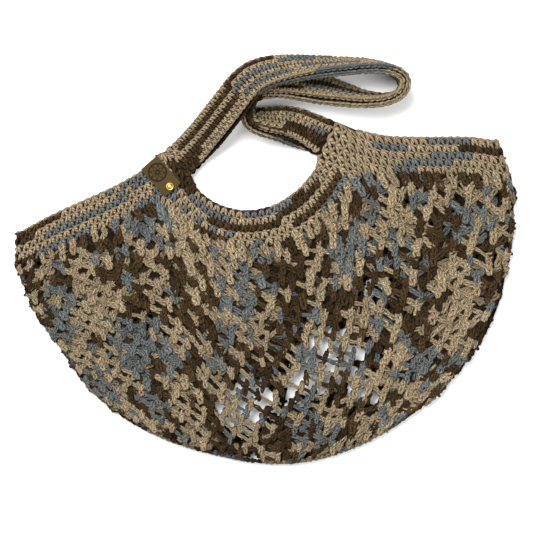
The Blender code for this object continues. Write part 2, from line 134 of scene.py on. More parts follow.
# The doubled strap's route: x, y, z, heading, drop, width, slip
ROUTE = [
    (-73.5, 80.8, 5.0, 138, 0, 33.2, 0.0),
    (-61.5, 93.6, 7.5, 138, 0, 30.0, 1.5),
    (-48.8, 106.9, 17.5, 138, 0, 28.5, 3.0),
    (-36.8, 120.2, 30.0, 140, 0, 28.5, 3.0),
    (-26.0, 133.0, 37.0, 140, 2, 28.5, 2.5),
    (-16.6, 144.0, 38.5, 135, 8, 28.5, 1.5),
    (-6.5, 152.0, 37.0, 119, 18, 28.5, 1.0),
    (7.0, 157.0, 33.0, 101, 31, 28.5, 0.5),
    (23.5, 160.0, 28.0, 94, 44, 28.5, 0.5),
    (43.8, 162.0, 23.0, 91, 56, 28.5, 0.5),
    (64.8, 163.0, 19.0, 90, 65, 28.5, 0.5),
    (83.5, 163.5, 16.7, 90, 72, 28.5, 0.5),
    (100.8, 162.0, 15.4, 90, 79, 28.5, 0.0),
    (113.2, 157.2, 14.8, 90, 85, 28.5, 0.0),
    (118.6, 149.2, 14.6, 90, 90, 28.5, 0.0),
    (114.5, 140.0, 14.8, 90, 86, 28.5, 0.0),
    (102.0, 135.4, 15.4, 90, 79, 28.5, -1.0),
    (85.0, 135.6, 15.3, 90, 69, 28.5, -2.0),
    (68.0, 138.6, 14.5, 90, 57, 28.5, -3.0),
    (49.3, 143.0, 13.2, 90, 43, 28.5, -3.0),
    (34.0, 145.7, 13.6, 88, 42, 28.5, -2.0),
    (20.0, 147.2, 15.0, 86, 46, 28.5, -1.0),
    (8.0, 146.3, 17.0, 82, 52, 28.5, 0.0),
    (-2.8, 142.4, 18.4, 78, 58, 28.5, 0.0),
    (-9.8, 135.4, 18.0, 76, 62, 28.5, 0.0),
    (-12.2, 127.6, 15.8, 74, 63, 28.5, 0.5),
    (-10.2, 121.4, 14.3, 72, 58, 28.5, 1.0),
    (-3.8, 117.8, 13.6, 72, 50, 28.5, 2.0),
    (6.0, 116.8, 12.0, 72, 38, 28.5, 3.5),
    (16.5, 117.0, 9.6, 74, 25, 28.5, 5.0),
    (27.5, 115.4, 7.2, 74, 12, 28.5, 5.5),
    (38.0, 111.5, 5.7, 72, 4, 29.5, 4.5),
    (46.8, 107.0, 5.2, 67, 0, 32.0, 2.0),
    (54.9, 102.5, 5.0, 64, 0, 36.0, 0.0),
]
STRAP_SPREAD = 2.45 * MM
ROOT_BLEND = 34.0 * MM
STATIONS_PER_ROW = 8

# Crochet gauge: pitches, heights and strays are in millimetres, fills and slants are shares
STITCH_PITCH = 7.1
STITCH_HEIGHT = 6.2
BAND_STRAY = 0.12
RIM_ROWS = 5
RIM_SLANT = 0.1
RIM_FILL = 0.935
RIM_LINK = 1.12
HANDLE_PITCH = 6.25
HANDLE_ROWS = 6
STRAP_FILL = 0.89
EDGE_PITCH = 4.8
LINK_PITCH = 5.2
NET_ROUNDS = 25
FIRST_ROUND = 0.042
NET_CELL = 15.8
NET_STRAY = 0.4
STEM_LOOPS = 2
LOOP_LENGTH = 3.7
GROUND_THICKNESS = 1.1 * MM
WEB_THICKNESS = 0.7 * MM

# Thickness of the bands' yarn, and of their edge chains', against the net's
BAND_YARN = 1.08
RIM_CHAIN_YARN = 1.1
HANDLE_CHAIN_YARN = 0.9

# Unevenness of the handwork: how far stitches slide, in millimetres, turn, in radians, and grow
SHAKE = {
    "rim": (0.28, 0.07, 0.05),
    "rim edge": (0.15, 0.07, 0.05),
    "handle": (0.15, 0.04, 0.05),
    "handle edge": (0.12, 0.07, 0.05),
    "stem": (0.45, 0.2, 0.08),
    "wrap": (0.7, 0.45, 0.1),
    "arm": (0.5, 0.2, 0.08),
    "under layer": (0.5, 0.35, 0.1),
    "under arm": (0.4, 0.3, 0.1),
    "fold": (0.3, 0.12, 0.05),
    "fold stem": (0.3, 0.1, 0.05),
}

# Widths of the net's stems and arms over its ground, in millimetres, and the longest arm
STEM_WIDTH = 3.0
ARM_WIDTH = 2.2
LONGEST_ARM = 18 * MM
# Strands over the stems: place along the stem from its middle, and the share of stems with one
WRAPS = ((0.3, 0.85), (-0.12, 0.6))

# Where on the route the straps' edge chains and rows start and end
EDGE_CHAIN = (0.7, 31.7)
STRAP_STITCHES = (0.0, 32.8)

# Painted shade: the share of its colour that the yarn keeps on its wrong side and on its right side
RIM_PAINTED_SHADE = (0.06, 1.0)
RIM_EDGE_PAINTED_SHADE = (0.6, 1.0)
HANDLE_PAINTED_SHADE = (0.08, 1.0)
HANDLE_EDGE_PAINTED_SHADE = (0.55, 1.0)
NET_PAINTED_SHADE = {"front": (0.0, 1.0), "back": (0.05, 0.85)}
UNDER_PAINTED_SHADE = (0.04, 0.95)
FOLD_PAINTED_SHADE = (0.5, 1.0)
# Height in a stitch where the yarn starts to come out of the shade, and the rise to full light
SHADE_FROM = -0.95
SHADE_RISE = 3.2

# Leather tag and rivet
TAG_CORNER = np.array((-96.7, 82.8))
TAG_DIRECTION = np.array((0.66, -0.751))
TAG_WIDTH = 18.0 * MM
TAG_LENGTH = 29.0 * MM
TAG_THICKNESS = 1.6 * MM
TAG_CLEARANCE = 0.3 * MM
TAG_BEND_RADIUS = 1.1 * MM
RIVET_FROM_EDGE = 25.2 * MM
RIVET_RADIUS = 3.1 * MM
TAG_SHIFT = 2.2 * MM
MOTIF_PLACE = 9.4 * MM
MOTIF_RADIUS = 7.4 * MM

# Colour runs of the yarn: t tan, b brown, g blue-grey, m tan and blue-grey by turns. Each run is
# the place where it ends and its colour.
# Front of the rim, rows from the net's edge to the mouth's, places in millimetres across the bag
RIM_RUNS = [
    [(-196, "b"), (-150, "g"), (-112, "t"), (-88, "g"), (-57, "t"), (-35, "b"), (-13, "t"),
     (0, "g"), (45, "t"), (70, "g"), (107, "t"), (130, "g"), (230, "t")],
    [(-95, "t"), (-76, "g"), (-70, "t"), (-28, "m"), (24, "t"), (64, "b"), (116, "t"),
     (160, "g"), (230, "t")],
    [(-185, "t"), (-116, "g"), (-88, "t"), (-72, "g"), (-46, "t"), (12, "b"), (138, "t"),
     (172, "g"), (230, "t")],
    [(-196, "b"), (-128, "t"), (-110, "m"), (-92, "g"), (-82, "t"), (-64, "b"), (-28, "g"),
     (12, "t"), (46, "b"), (93, "t"), (120, "g"), (160, "t"), (203, "b"), (230, "t")],
    [(-174, "b"), (-132, "t"), (-122, "m"), (-95, "g"), (-82, "t"), (-60, "b"), (-21, "t"),
     (22, "g"), (30, "b"), (133, "t"), (170, "g"), (230, "t")],
]
RIM_EDGE_RUNS = [(-66, "t"), (5, "b"), (230, "t")]

# Handles, rows from the hand hole's edge to the outer one, places on the route
FRONT_HANDLE_RUNS = [
    [(0.9, "b"), (9, "t"), (14, "g"), (22, "t"), (29, "b"), (33, "t")],
    [(1.5, "b"), (4.8, "t"), (8, "g"), (20, "t"), (26, "b"), (29, "t"), (33, "b")],
    [(4.6, "b"), (8.5, "t"), (11, "g"), (14, "t"), (20, "g"), (29, "t"), (33, "b")],
    [(4.4, "t"), (7.4, "g"), (14, "t"), (26, "g"), (31, "t"), (33, "g")],
    [(0.8, "t"), (4.4, "b"), (7.5, "t"), (9, "g"), (20, "t"), (27, "b"), (33, "t")],
    [(4.3, "t"), (7.4, "b"), (8, "t"), (9.6, "g"), (26, "t"), (33, "b")],
]
FRONT_EDGE_RUNS = [(0.9, "b"), (8.8, "t"), (12.6, "g"), (23, "t"), (27, "b"), (33, "t")]
BACK_HANDLE_RUNS = [
    [(4.5, "b"), (33, "t")],
    [(4.5, "b"), (10, "g"), (20, "t"), (26, "b"), (33, "g")],
    [(4.5, "t"), (9, "b"), (20, "g"), (33, "t")],
    [(4.5, "g"), (14, "t"), (20, "b"), (26, "g"), (33, "b")],
    [(33, "t")],
    [(4.5, "b"), (14, "g"), (20, "t"), (33, "b")],
]
BACK_EDGE_RUNS = [(5.2, "b"), (12.2, "g"), (28, "t"), (31, "g"), (33, "t")]

# Where each colour of the yarn pools in the net's front: x, y, radius in millimetres
POOLS = {
    "b": [
        (-192, -13, 14), (-125, 5, 16), (-75, -5, 20), (-62, -50, 16), (-100, -105, 18),
        (-60, -70, 16), (30, 0, 24), (32, -30, 22), (18, -58, 18), (70, -30, 16), (60, -95, 22),
        (5, -105, 20), (140, -8, 18), (155, 20, 14), (135, -62, 18), (185, -35, 14),
        (176, -70, 14), (10, -150, 20), (-60, -158, 18),
    ],
    "g": [
        (-88, 40, 18), (-112, -55, 18), (-90, -85, 18), (-168, -35, 12), (-140, -105, 14),
        (-95, -120, 12), (-25, -15, 16), (-22, -42, 14), (80, 28, 20), (100, 18, 16),
        (92, -32, 12), (50, -72, 18), (85, -70, 16), (138, -85, 12), (105, -118, 14),
        (26, -135, 14), (180, 30, 12),
    ],
    "t": [
        (-165, 0, 18), (-140, -40, 22), (-140, -75, 22), (-95, 5, 18), (-40, 10, 22),
        (-8, -35, 22), (-60, -130, 26), (-30, -145, 24), (60, 45, 16), (75, -45, 16),
        (35, -65, 16), (165, -30, 26), (170, -62, 14), (110, -100, 22), (75, -130, 26),
        (195, 20, 12), (120, 25, 16), (0, -165, 14),
    ],
}
# How often each colour comes next in the net, how much a pool adds to its own, and the share
# that is left to the colour that was there before
COLOUR_WEIGHTS = {"t": 0.42, "b": 0.33, "g": 0.21}
POOL_PULL = 1.7
REPEAT_SHARE = 0.55
# Shortest run of a colour and how much longer one may be, in cells, and each colour's share of it
SHORTEST_RUN = 0.45
RUN_SPREAD = 0.85
RUN_SHARE = {"t": 1.25, "b": 0.9, "g": 0.9}
# How much the stitches of each colour differ in lightness, and all of them in hue
LIGHTNESS_SPREAD = {"t": 0.26, "b": 0.75, "g": 0.26}
HUE_SPREAD = 0.06
# Colour of the sheets under the stitches: yarn colour with painted shade
GROUND_PAINTED_SHADE = (0.0095, 0.0060, 0.0036)

# Where the net lies stretched open: x, y, radius in millimetres
OPEN_PLACES = [
    (-16, -124, 27), (34, -104, 17), (56, -80, 25), (92, -25, 11), (101, 17, 7), (-98, -55, 9),
    (84, -112, 13),
]


# ---------------------------------------------------------------------------------------------
# Curves and surfaces


def smooth(rows, places):
    """Points at places along a Catmull-Rom curve through the rows."""
    rows = np.asarray(rows, float)
    places = np.asarray(places, float)
    start = np.minimum(places.astype(int), len(rows) - 2)
    t = (places - start)[:, None]
    padded = np.vstack([2 * rows[0] - rows[1], rows, 2 * rows[-1] - rows[-2]])
    a, b, c, d = (padded[start + i] for i in range(4))
    square, cube = 2 * a - 5 * b + 4 * c - d, 3 * b - a - 3 * c + d
    return 0.5 * (2 * b + (c - a) * t + square * t**2 + cube * t**3)


def run_of(points):
    """Length from the first point to each point of a polyline."""
    return np.concatenate([[0.0], np.cumsum(np.linalg.norm(np.diff(points, axis=0), axis=1))])


def look_up(points, run, wanted):
    return np.stack([np.interp(wanted, run, points[:, i]) for i in range(points.shape[1])], axis=1)


def even_points(points, count):
    run = run_of(points)
    return look_up(points, run, np.linspace(0, run[-1], count + 1))


def unit(vectors):
    return vectors / np.maximum(np.linalg.norm(vectors, axis=-1, keepdims=True), 1e-12)


def square_to(vectors, along):
    """The unit vectors nearest to the given ones that are square to unit directions."""
    return unit(vectors - along * np.sum(vectors * along, axis=1, keepdims=True))


def rim_edges():
    """The rim's inner edge and worked edge in plan, left to right, point for point."""
    last = len(RIM_SECTIONS) - 1
    places = np.linspace(0, last, last * 20 + 1)
    rows = np.array(RIM_SECTIONS) * MM
    inner = smooth(rows[:, 2:], places)
    outer = np.empty_like(inner)
    bounds = [0, *LEFT_STRAP, *RIGHT_STRAP, last]
    for low, high in zip(bounds, bounds[1:]):
        inside = (places >= low) & (places <= high)
        outer[inside] = smooth(rows[low : high + 1, :2], places[inside] - low)
    return inner - CENTRE, outer - CENTRE


def closed_ring(front, left_out, right_out, front_z):
    """A loop round both layers: the front from left to right, the fold, the back, the fold."""
    angles = np.arange(1, FOLD_STEPS) * math.pi / FOLD_STEPS
    reach = (FOLD_RADIUS * np.sin(angles))[:, None]
    height = BACK_Z + FOLD_RADIUS * (1 + np.cos(angles))
    right = front[-1] + reach * right_out
    left = front[0] + reach * left_out
    front_z = np.broadcast_to(front_z, len(front))
    return np.vstack(
        [
            np.column_stack([front, front_z]),
            np.column_stack([right, height]),
            np.column_stack([front[::-1], np.full(len(front), BACK_Z)]),
            np.column_stack([left[::-1], height[::-1]]),
            [[*front[0], front_z[0]]],
        ]
    )


def ring_sections():
    """The place among the rim's sections of each point of one of its rings."""
    last = len(RIM_SECTIONS) - 1
    front = np.linspace(0, last, last * 20 + 1)
    fold = np.ones(FOLD_STEPS - 1)
    return np.concatenate([front, fold * last, front[::-1], fold * 0, [0]])


def rim_rings(shares):
    """Rings of the rim band at shares of its height, from the net's edge to the mouth's."""
    inner, outer = rim_edges()
    rings = []
    for share in shares:
        outs = []
        for join, end in ((JOIN_LEFT, 0), (JOIN_RIGHT, -1)):
            edge = unit(outer[end] - inner[end])
            square = np.array((-edge[1], edge[0])) if end == 0 else np.array((edge[1], -edge[0]))
            outs.append(unit(join + (square - join) * share))
        rings.append(closed_ring(inner + (outer - inner) * share, outs[0], outs[1], FRONT_Z))
    return np.array(rings)


class NetPlan:
    """Maps shares across and down the pouch to its plan, between the rim and the fold line."""

    def __init__(self):
        rows = np.array(SILHOUETTE) * MM
        per_row = 8
        outer = smooth(rows, np.linspace(0, len(rows) - 1, (len(rows) - 1) * per_row + 1))
        along = unit(np.gradient(outer, axis=0))
        inner = outer + np.column_stack([-along[:, 1], along[:, 0]]) * FOLD_REACH - CENTRE
        rim_inner, rim_outer = rim_edges()
        tuck = 0.9 * MM
        self.rim = rim_inner + unit(rim_outer - rim_inner) * tuck
        low, high = LEFT_SIDE_END * per_row, RIGHT_SIDE_START * per_row
        count = 120
        self.left = even_points(np.vstack([self.rim[:1], inner[1 : low + 1]]), count)
        self.bottom = even_points(inner[low : high + 1], count)
        self.right = even_points(np.vstack([inner[high:-1], self.rim[-1:]])[::-1], count)
        self.shares = np.linspace(0, 1, count + 1)
        self.rim_even = even_points(self.rim, 240)

    def side(self, points, share):
        return look_up(points, self.shares, np.atleast_1d(share))

    def row(self, v, u):
        """Points of the row at share v down the pouch, at shares u across it."""
        top = look_up(self.rim_even, np.linspace(0, 1, len(self.rim_even)), u)
        bottom = self.side(self.bottom, u)
        left, right = self.side(self.left, v), self.side(self.right, v)
        u = u[:, None]
        corners = (
            self.rim_even[0] * (1 - u) * (1 - v)
            + self.rim_even[-1] * u * (1 - v)
            + self.bottom[0] * (1 - u) * v
            + self.bottom[-1] * u * v
        )
        return top * (1 - v) + bottom * v + left * (1 - u) + right * u - corners

    def outward(self, v):
        """The plan directions away from the pouch at the left and right ends of a row."""
        step = 0.02
        found = []
        for points, turn in ((self.left, 1), (self.right, -1)):
            along = unit(self.side(points, min(v + step, 1)) - self.side(points, max(v - step, 0)))[0]
            found.append(np.array((along[1], -along[0])) * turn)
        return found


def front_waves(u, v):
    """The front layer's height, with soft waves that die away at its edges."""
    edge = np.sin(math.pi * u) * math.sin(math.pi * v)
    wave = np.sin(5.2 * math.pi * u + 2.1 * v) * math.sin(2.6 * math.pi * v + 0.8)
    return FRONT_Z + 0.9 * MM * edge * (0.4 + 0.6 * wave)


def net_rings():
    plan = NetPlan()
    across = np.linspace(0, 1, 241)
    rings = []
    for k in range(NET_ROUNDS + 1):
        v = 0.0 if k == 0 else FIRST_ROUND + (1 - FIRST_ROUND) * (k - 1) / (NET_ROUNDS - 1)
        left_out, right_out = plan.outward(v)
        rings.append(closed_ring(plan.row(v, across), left_out, right_out, front_waves(across, v)))
    return plan, rings


def strap_stations():
    """Centres, width and facing directions, half widths, slips and spreads along the strap."""
    count = (len(ROUTE) - 1) * STATIONS_PER_ROW
    samples = smooth(ROUTE, np.linspace(0, len(ROUTE) - 1, count + 1))
    centres = samples[:, :3] * MM
    run = run_of(centres)
    heading, drop = np.radians(samples[:, 3]), np.radians(samples[:, 4])
    across = np.column_stack(
        [np.cos(heading) * np.cos(drop), np.sin(heading) * np.cos(drop), -np.sin(drop)]
    )
    along = unit(np.gradient(centres, axis=0))
    for end in (0, -1):
        along[end] = unit(np.array((across[end][1], -across[end][0], 0.0)))
    across = square_to(across, along)
    facing = np.cross(along, across)
    root = np.clip(1 - np.minimum(run, run[-1] - run) / ROOT_BLEND, 0, 1)
    spread = STRAP_SPREAD + (FOLD_RADIUS - STRAP_SPREAD) * root * root * (3 - 2 * root)
    centres[:, :2] -= CENTRE
    return centres, across, facing, samples[:, 5] * MM / 2, samples[:, 6] * MM, spread


def strap_rings(side, shares):
    """Lines along one handle at shares of its half width, -1 at the hand hole's edge."""
    centres, across, facing, half, slip, spread = strap_stations()
    middle = centres + facing * spread[:, None] * side
    if side < 0:
        middle = middle - across * slip[:, None]
    return np.array([middle + across * half[:, None] * share for share in shares])


# ---------------------------------------------------------------------------------------------
# Yarn


def tube(points, segments, radius, sides=5):
    """A closed tube along a smooth path: vertices, face corners, face sizes and a UV map along the
    yarn, ten millimetres to the unit."""
    points = np.array(points, float)
    line = smooth(points, np.linspace(0, len(points) - 1, segments + 1))
    along = unit(np.gradient(line, axis=0))
    normal = unit(np.cross(along[0], (0.31, 0.17, 0.93)))
    normals = []
    for direction in along:
        normal = unit(normal - direction * normal.dot(direction))
        normals.append(normal)
    normals = np.array(normals)
    binormals = np.cross(along, normals)
    angles = np.arange(sides) * 2 * math.pi / sides
    verts = (
        line[:, None]
        + radius * np.cos(angles)[None, :, None] * normals[:, None]
        + radius * np.sin(angles)[None, :, None] * binormals[:, None]
    ).reshape(-1, 3)
    run = run_of(line) / 10
    corners, sizes, uvs = [], [], []
    for i in range(segments):
        for k in range(sides):
            following = (k + 1) % sides
            near, far = i * sides, (i + 1) * sides
            corners += [near + k, near + following, far + following, far + k]
            sizes.append(4)
            low, high = k / sides, (k + 1) / sides
            uvs += [(run[i], low), (run[i], high), (run[i + 1], high), (run[i + 1], low)]
    corners += list(range(sides))[::-1] + list(range(segments * sides, (segments + 1) * sides))
    sizes += [sides, sides]
    uvs += [(run[0], 0.1)] * sides + [(run[-1], 0.1)] * sides
    return verts, np.array(corners), np.array(sizes), np.array(uvs)


def join_tubes(tubes):
    verts, corners, sizes, uvs = [], [], [], []
    start = 0
    for shape in tubes:
        verts.append(shape[0])
        corners.append(shape[1] + start)
        sizes.append(shape[2])
        uvs.append(shape[3])
        start += len(shape[0])
    return np.vstack(verts), np.concatenate(corners), np.concatenate(sizes), np.vstack(uvs)


def loop_through(half, tip, segments, radius):
    """Yarn down the points of its left half, round its tip and back up on the right."""
    mirrored = [(-x, y, z) for x, y, z in reversed(half)]
    return tube(half + [tip] + mirrored, segments, radius)


def single_crochet(radius):
    """One stitch, 7.1 by 6.2 mm: a plump tent whose feet go under the row below, and the bar of
    yarn that joins its head to the next one."""
    half = [(-2.5, -3.8, -1.3), (-1.85, -1.4, 0.6), (-1.25, 1.1, 1.3)]
    arch = loop_through(half, (0, 2.6, 1.0), 8, radius * 1.3)
    bar = tube([(-1.2, 2.6, -0.1), (1.6, 3.5, 0.3), (4.0, 2.3, 0.45), (6.2, 2.4, -0.6)], 4, radius)
    return join_tubes([arch, bar])


def chain_link(radius):
    """One link of a chain, 5.2 mm apart: its legs part from the tail and meet round the head."""
    half = [(-3.5, 0.1, -0.75), (-0.6, 0.95, 0.35), (1.7, 1.35, 0.7)]
    path = half + [(3.0, 0.0, 0.35)] + [(x, -y, z) for x, y, z in reversed(half)]
    return tube(path, 8, radius)


def stem_loop(radius):
    """One loop of a braided stem, its round end down: the next loop nests 3.7 mm above it."""
    half = [(-0.2, 3.5, -1.2), (-1.1, 1.6, 0.5), (-1.55, -0.9, 1.0)]
    return loop_through(half, (0.0, -2.6, 0.6), 7, radius * 1.12)


def arm_loop(radius):
    """One of the two loops of an arm that reaches up to the stem beside."""
    half = [(-0.1, 3.4, -1.2), (-0.95, 1.5, 0.4), (-1.3, -0.8, 0.8)]
    return loop_through(half, (0.0, -2.5, 0.3), 6, radius * 1.05)


def wrap_strand(radius):
    """A short strand laid slantwise over a stem."""
    rise, fall = [(-2.3, -2.3, -0.6), (-1.3, -1.1, 1.3)], [(1.4, 1.3, 1.3), (2.2, 2.6, -0.6)]
    return tube(rise + [(0.2, 0.2, 2.0)] + fall, 5, radius)


def tag_frame():
    """The tag's place at the rim's worked edge, the way in from there, and the way along the edge."""
    inward = unit(TAG_DIRECTION)
    place = TAG_CORNER * MM - CENTRE + inward * TAG_SHIFT
    return place, inward, np.array((-inward[1], inward[0]))


def pressed_under_tag(verts):
    """The yarn that the tag is folded over is drawn in and pressed together."""
    place, inward, sideways = tag_frame()
    pressed_share, edge, drawn_share = 0.6, 1.2 * MM, 0.7
    reach = TAG_WIDTH / 2 + 0.8 * MM
    plan = verts[:, :2] - place
    across, beside_tag = plan @ inward, np.abs(plan @ sideways)
    in_front = verts[:, 2] > FRONT_Z - CLOTH
    covered = (beside_tag < reach) & (across < TAG_LENGTH) & in_front
    verts[covered, 2] = FRONT_Z + (verts[covered, 2] - FRONT_Z) * pressed_share
    outside = covered & (across < edge)
    verts[outside, :2] += ((edge - across[outside]) * drawn_share)[:, None] * inward
    return verts


def rounded_corner(verts):
    """The mouth's right corner is rounded off: what stands outside its arc is drawn in."""
    give = 0.15
    offset = verts[:, :2] - (CORNER_CENTRE * MM - CENTRE)
    reach = np.linalg.norm(offset, axis=1)
    outside = (offset[:, 0] > 0) & (offset[:, 1] > 0) & (reach > CORNER_RADIUS)
    drawn_in = CORNER_RADIUS + give * (reach[outside] - CORNER_RADIUS)
    verts[outside, :2] -= offset[outside] * (1 - drawn_in / reach[outside])[:, None]
    return verts


def tucked_peaks(verts):
    """The rim's corners behind the straps' roots stay within the straps' edges."""
    reach, drawn_share = 14 * MM, 0.8
    for spot, inward in ROOT_PEAKS:
        offset = verts[:, :2] - (np.array(spot) * MM - CENTRE)
        beyond = offset @ np.array(inward)
        out = (np.linalg.norm(offset, axis=1) < reach) & (beyond < 0)
        verts[out, :2] -= drawn_share * beyond[out, None] * np.array(inward)
    return verts


def pressed_flat(verts):
    """The lowest millimetre of the yarn gives way, so that nothing goes through the floor."""
    low = verts[:, 2] < MM
    verts[low, 2] = MM * np.exp(verts[low, 2] / MM - 1)
    return verts


def unrest(verts, amount):
    """The yarn strays from its path by a given length, in waves of about 4 mm."""
    x, y, z = verts.T / MM
    stray = (
        np.sin(1.7 * y + 1.3 * np.sin(0.9 * x) + 0.8 * z),
        np.sin(1.5 * x - 1.1 * np.sin(0.8 * y) + 0.6 * z),
        0.6 * np.sin(1.3 * x + 1.6 * y),
    )
    return verts + amount * np.column_stack(stray)


class Stitches:
    """Collects copies of yarn shapes, each with its place, directions and colour."""

    def __init__(self, stray=BAND_STRAY, tucked=False):
        self.parts = []
        self.stray = stray * MM
        self.tucked = tucked

    def add(self, shape, frames, tints, depth):
        """Frames are origins, and x, y and z directions per millimetre. Depth is the painted shade:
        the share of its colour that the yarn keeps on its wrong side and on its right side."""
        verts, corners, sizes, uvs = shape
        origin, x, y, z = frames
        copies = (
            origin[:, None]
            + verts[None, :, 0:1] * x[:, None]
            + verts[None, :, 1:2] * y[:, None]
            + verts[None, :, 2:3] * z[:, None]
        )
        low, high = depth
        # Painted shade: the colour darkens towards the low side of each stitch, where the cloth
        # shades the yarn
        lift = np.clip((verts[:, 2] - SHADE_FROM) / SHADE_RISE, 0, 1)
        shade = low + (high - low) * lift * lift * (3 - 2 * lift)
        colour = tints[:, None, :] * shade[None, :, None]
        self.parts.append((copies, corners, sizes, uvs, colour))

    def build(self, name):
        """One mesh of all the copies, with their yarn's UV map and their colours with painted shade,
        in the scene.
        """
        all_verts, all_corners, all_sizes, all_uvs, all_shaded_tints = [], [], [], [], []
        start = 0
        for copies, corners, sizes, uvs, colour in self.parts:
            count, size = copies.shape[:2]
            offsets = start + np.arange(count) * size
            all_verts.append(copies.reshape(-1, 3))
            all_corners.append((corners[None] + offsets[:, None]).ravel())
            all_sizes.append(np.tile(sizes, count))
            all_uvs.append(np.tile(uvs, (count, 1)))
            all_shaded_tints.append(colour.reshape(-1, 3))
            start += count * size
        verts = rounded_corner(unrest(np.vstack(all_verts), self.stray))
        if self.tucked:
            verts = tucked_peaks(verts)
        verts = pressed_flat(pressed_under_tag(verts))
        corners, sizes = np.concatenate(all_corners), np.concatenate(all_sizes)
        mesh = bpy.data.meshes.new(name)
        mesh.vertices.add(len(verts))
        mesh.vertices.foreach_set("co", verts.ravel().astype(np.float32))
        mesh.loops.add(len(corners))
        mesh.polygons.add(len(sizes))
        loop_starts = np.concatenate([[0], np.cumsum(sizes)[:-1]])
        mesh.polygons.foreach_set("loop_start", loop_starts.astype(np.int32))
        mesh.polygons.foreach_set("vertices", corners.astype(np.int32))
        mesh.update(calc_edges=True)
        mesh.validate()
        layer = mesh.uv_layers.new(name="Yarn")
        layer.data.foreach_set("uv", np.vstack(all_uvs).ravel().astype(np.float32))
        # The colour attribute holds each stitch's yarn colour with its painted shade
        tint = mesh.color_attributes.new(name="Tint", type="FLOAT_COLOR", domain="POINT")
        rgba = np.ones((len(verts), 4), np.float32)
        rgba[:, :3] = np.vstack(all_shaded_tints)
        tint.data.foreach_set("color", rgba.ravel())
        mesh.shade_smooth()
        return new_object(name, mesh)


def yarn_colours(settings):
    letters = {"t": settings.tan, "b": settings.brown, "g": settings.blue_grey}
    return {letter: np.array(colour) for letter, colour in letters.items()}


def colour_of(runs, place, index):
    """The letter of the run that a place falls in. Two-colour runs go by turns."""
    letter = next((letter for end, letter in runs if place <= end), runs[-1][1])
    return "tg"[index % 2] if letter == "m" else letter


def tints_from(letters, colours, rng):
    """Each stitch's colour, a little lighter or darker than its neighbours'."""
    base = np.array([colours[letter] for letter in letters])
    spread = np.array([LIGHTNESS_SPREAD[letter] for letter in letters])[:, None]
    lighter = 1 + spread * (rng.random((len(base), 1)) - 0.45)
    warmer = 1 + HUE_SPREAD * (rng.random((len(base), 3)) - 0.5)
    return base * lighter * warmer


def shaken(frames, rng, kind):
    """The same frames with the small unevenness of handwork in stitches of a kind."""
    slide, turn, grow = SHAKE[kind]
    origin, x, y, z = frames
    count = len(origin)
    move = (rng.random((count, 3)) - 0.5) * 2 * slide
    origin = origin + x * move[:, :1] + y * move[:, 1:2] + z * move[:, 2:] * 0.6
    angle = (rng.random((count, 1)) - 0.5) * 2 * turn
    size = 1 + (rng.random((count, 1)) - 0.5) * 2 * grow
    turned_x = (x * np.cos(angle) + y * np.sin(angle)) * size
    turned_y = (y * np.cos(angle) - x * np.sin(angle)) * size
    return origin, turned_x, turned_y, z


def band_frames(lines, row, run, places, pitch, closed):
    """Frames of one row of a band, at places along it. The row lies between the lines before and
    after its own middle line."""
    low, middle, high = (look_up(lines[2 * row + i], run, places) for i in range(3))
    step = pitch * MM / 2
    ahead, behind = places + step, places - step
    if closed:
        span = 2 * step
        ahead, behind = ahead % run[-1], behind % run[-1]
    else:
        span = (np.minimum(ahead, run[-1]) - np.maximum(behind, 0))[:, None]
    own = lines[2 * row + 1]
    x = (look_up(own, run, ahead) - look_up(own, run, behind)) * (2 * step / span) / pitch
    y = (high - low) / STITCH_HEIGHT
    return middle, x, y, unit(np.cross(x, y)) * MM


def edge_frames(edge, inner, pitch, closed):
    """Frames for a chain worked on an edge: outward from the cloth, along it, and across it."""
    run = run_of(edge)
    count = int(round(run[-1] / (pitch * MM)))
    places = (np.arange(count) + 0.5) / count * run[-1]
    step = pitch * MM / 2
    ahead, behind = places + step, places - step
    if closed:
        ahead, behind = ahead % run[-1], behind % run[-1]
    middle = look_up(edge, run, places)
    within = look_up(inner, run, places)
    x = unit(look_up(edge, run, ahead) - look_up(edge, run, behind)) * MM
    outward = square_to(unit(middle - within), unit(x)) * MM
    y = np.cross(unit(outward), unit(x)) * MM
    return (middle, x, y, outward), places


# ---------------------------------------------------------------------------------------------
# Materials


def node_group(name, inputs, outputs):
    """A new shader group with its sockets, and its input and output nodes."""
    group = bpy.data.node_groups.new(name, "ShaderNodeTree")
    for label, kind, default in inputs:
        socket = group.interface.new_socket(name=label, in_out="INPUT", socket_type=kind)
        socket.default_value = default
    for label, kind in outputs:
        group.interface.new_socket(name=label, in_out="OUTPUT", socket_type=kind)
    return group, group.nodes.new("NodeGroupInput"), group.nodes.new("NodeGroupOutput")


def math_node(tree, operation, *values):
    node = tree.nodes.new("ShaderNodeMath")
    node.operation = operation
    for i, value in enumerate(values):
        if isinstance(value, (int, float)):
            node.inputs[i].default_value = value
        else:
            tree.links.new(value, node.inputs[i])
    return node.outputs[0]


def mix_colour(tree, blend, factor, first, second):
    node = tree.nodes.new("ShaderNodeMix")
    node.data_type = "RGBA"
    node.blend_type = blend
    for i, value in ((0, factor), (6, first), (7, second)):
        socket = node.inputs[i]
        if isinstance(value, (int, float, tuple)):
            socket.default_value = value
        else:
            tree.links.new(value, socket)
    return node.outputs[2]


def noise(tree, vector, scale, detail=3.0, roughness=0.55):
    node = tree.nodes.new("ShaderNodeTexNoise")
    node.inputs["Scale"].default_value = scale
    node.inputs["Detail"].default_value = detail
    node.inputs["Roughness"].default_value = roughness
    tree.links.new(vector, node.inputs["Vector"])
    return node.outputs["Fac"]


def scaled(colour, factor):
    """A colour made lighter or darker, with its alpha."""
    return (*[channel * factor for channel in colour], 1)


def object_position(tree):
    return tree.nodes.new("ShaderNodeTexCoord").outputs["Object"]


def attribute(tree, name, output):
    node = tree.nodes.new("ShaderNodeAttribute")
    node.attribute_name = name
    return node.outputs[output]


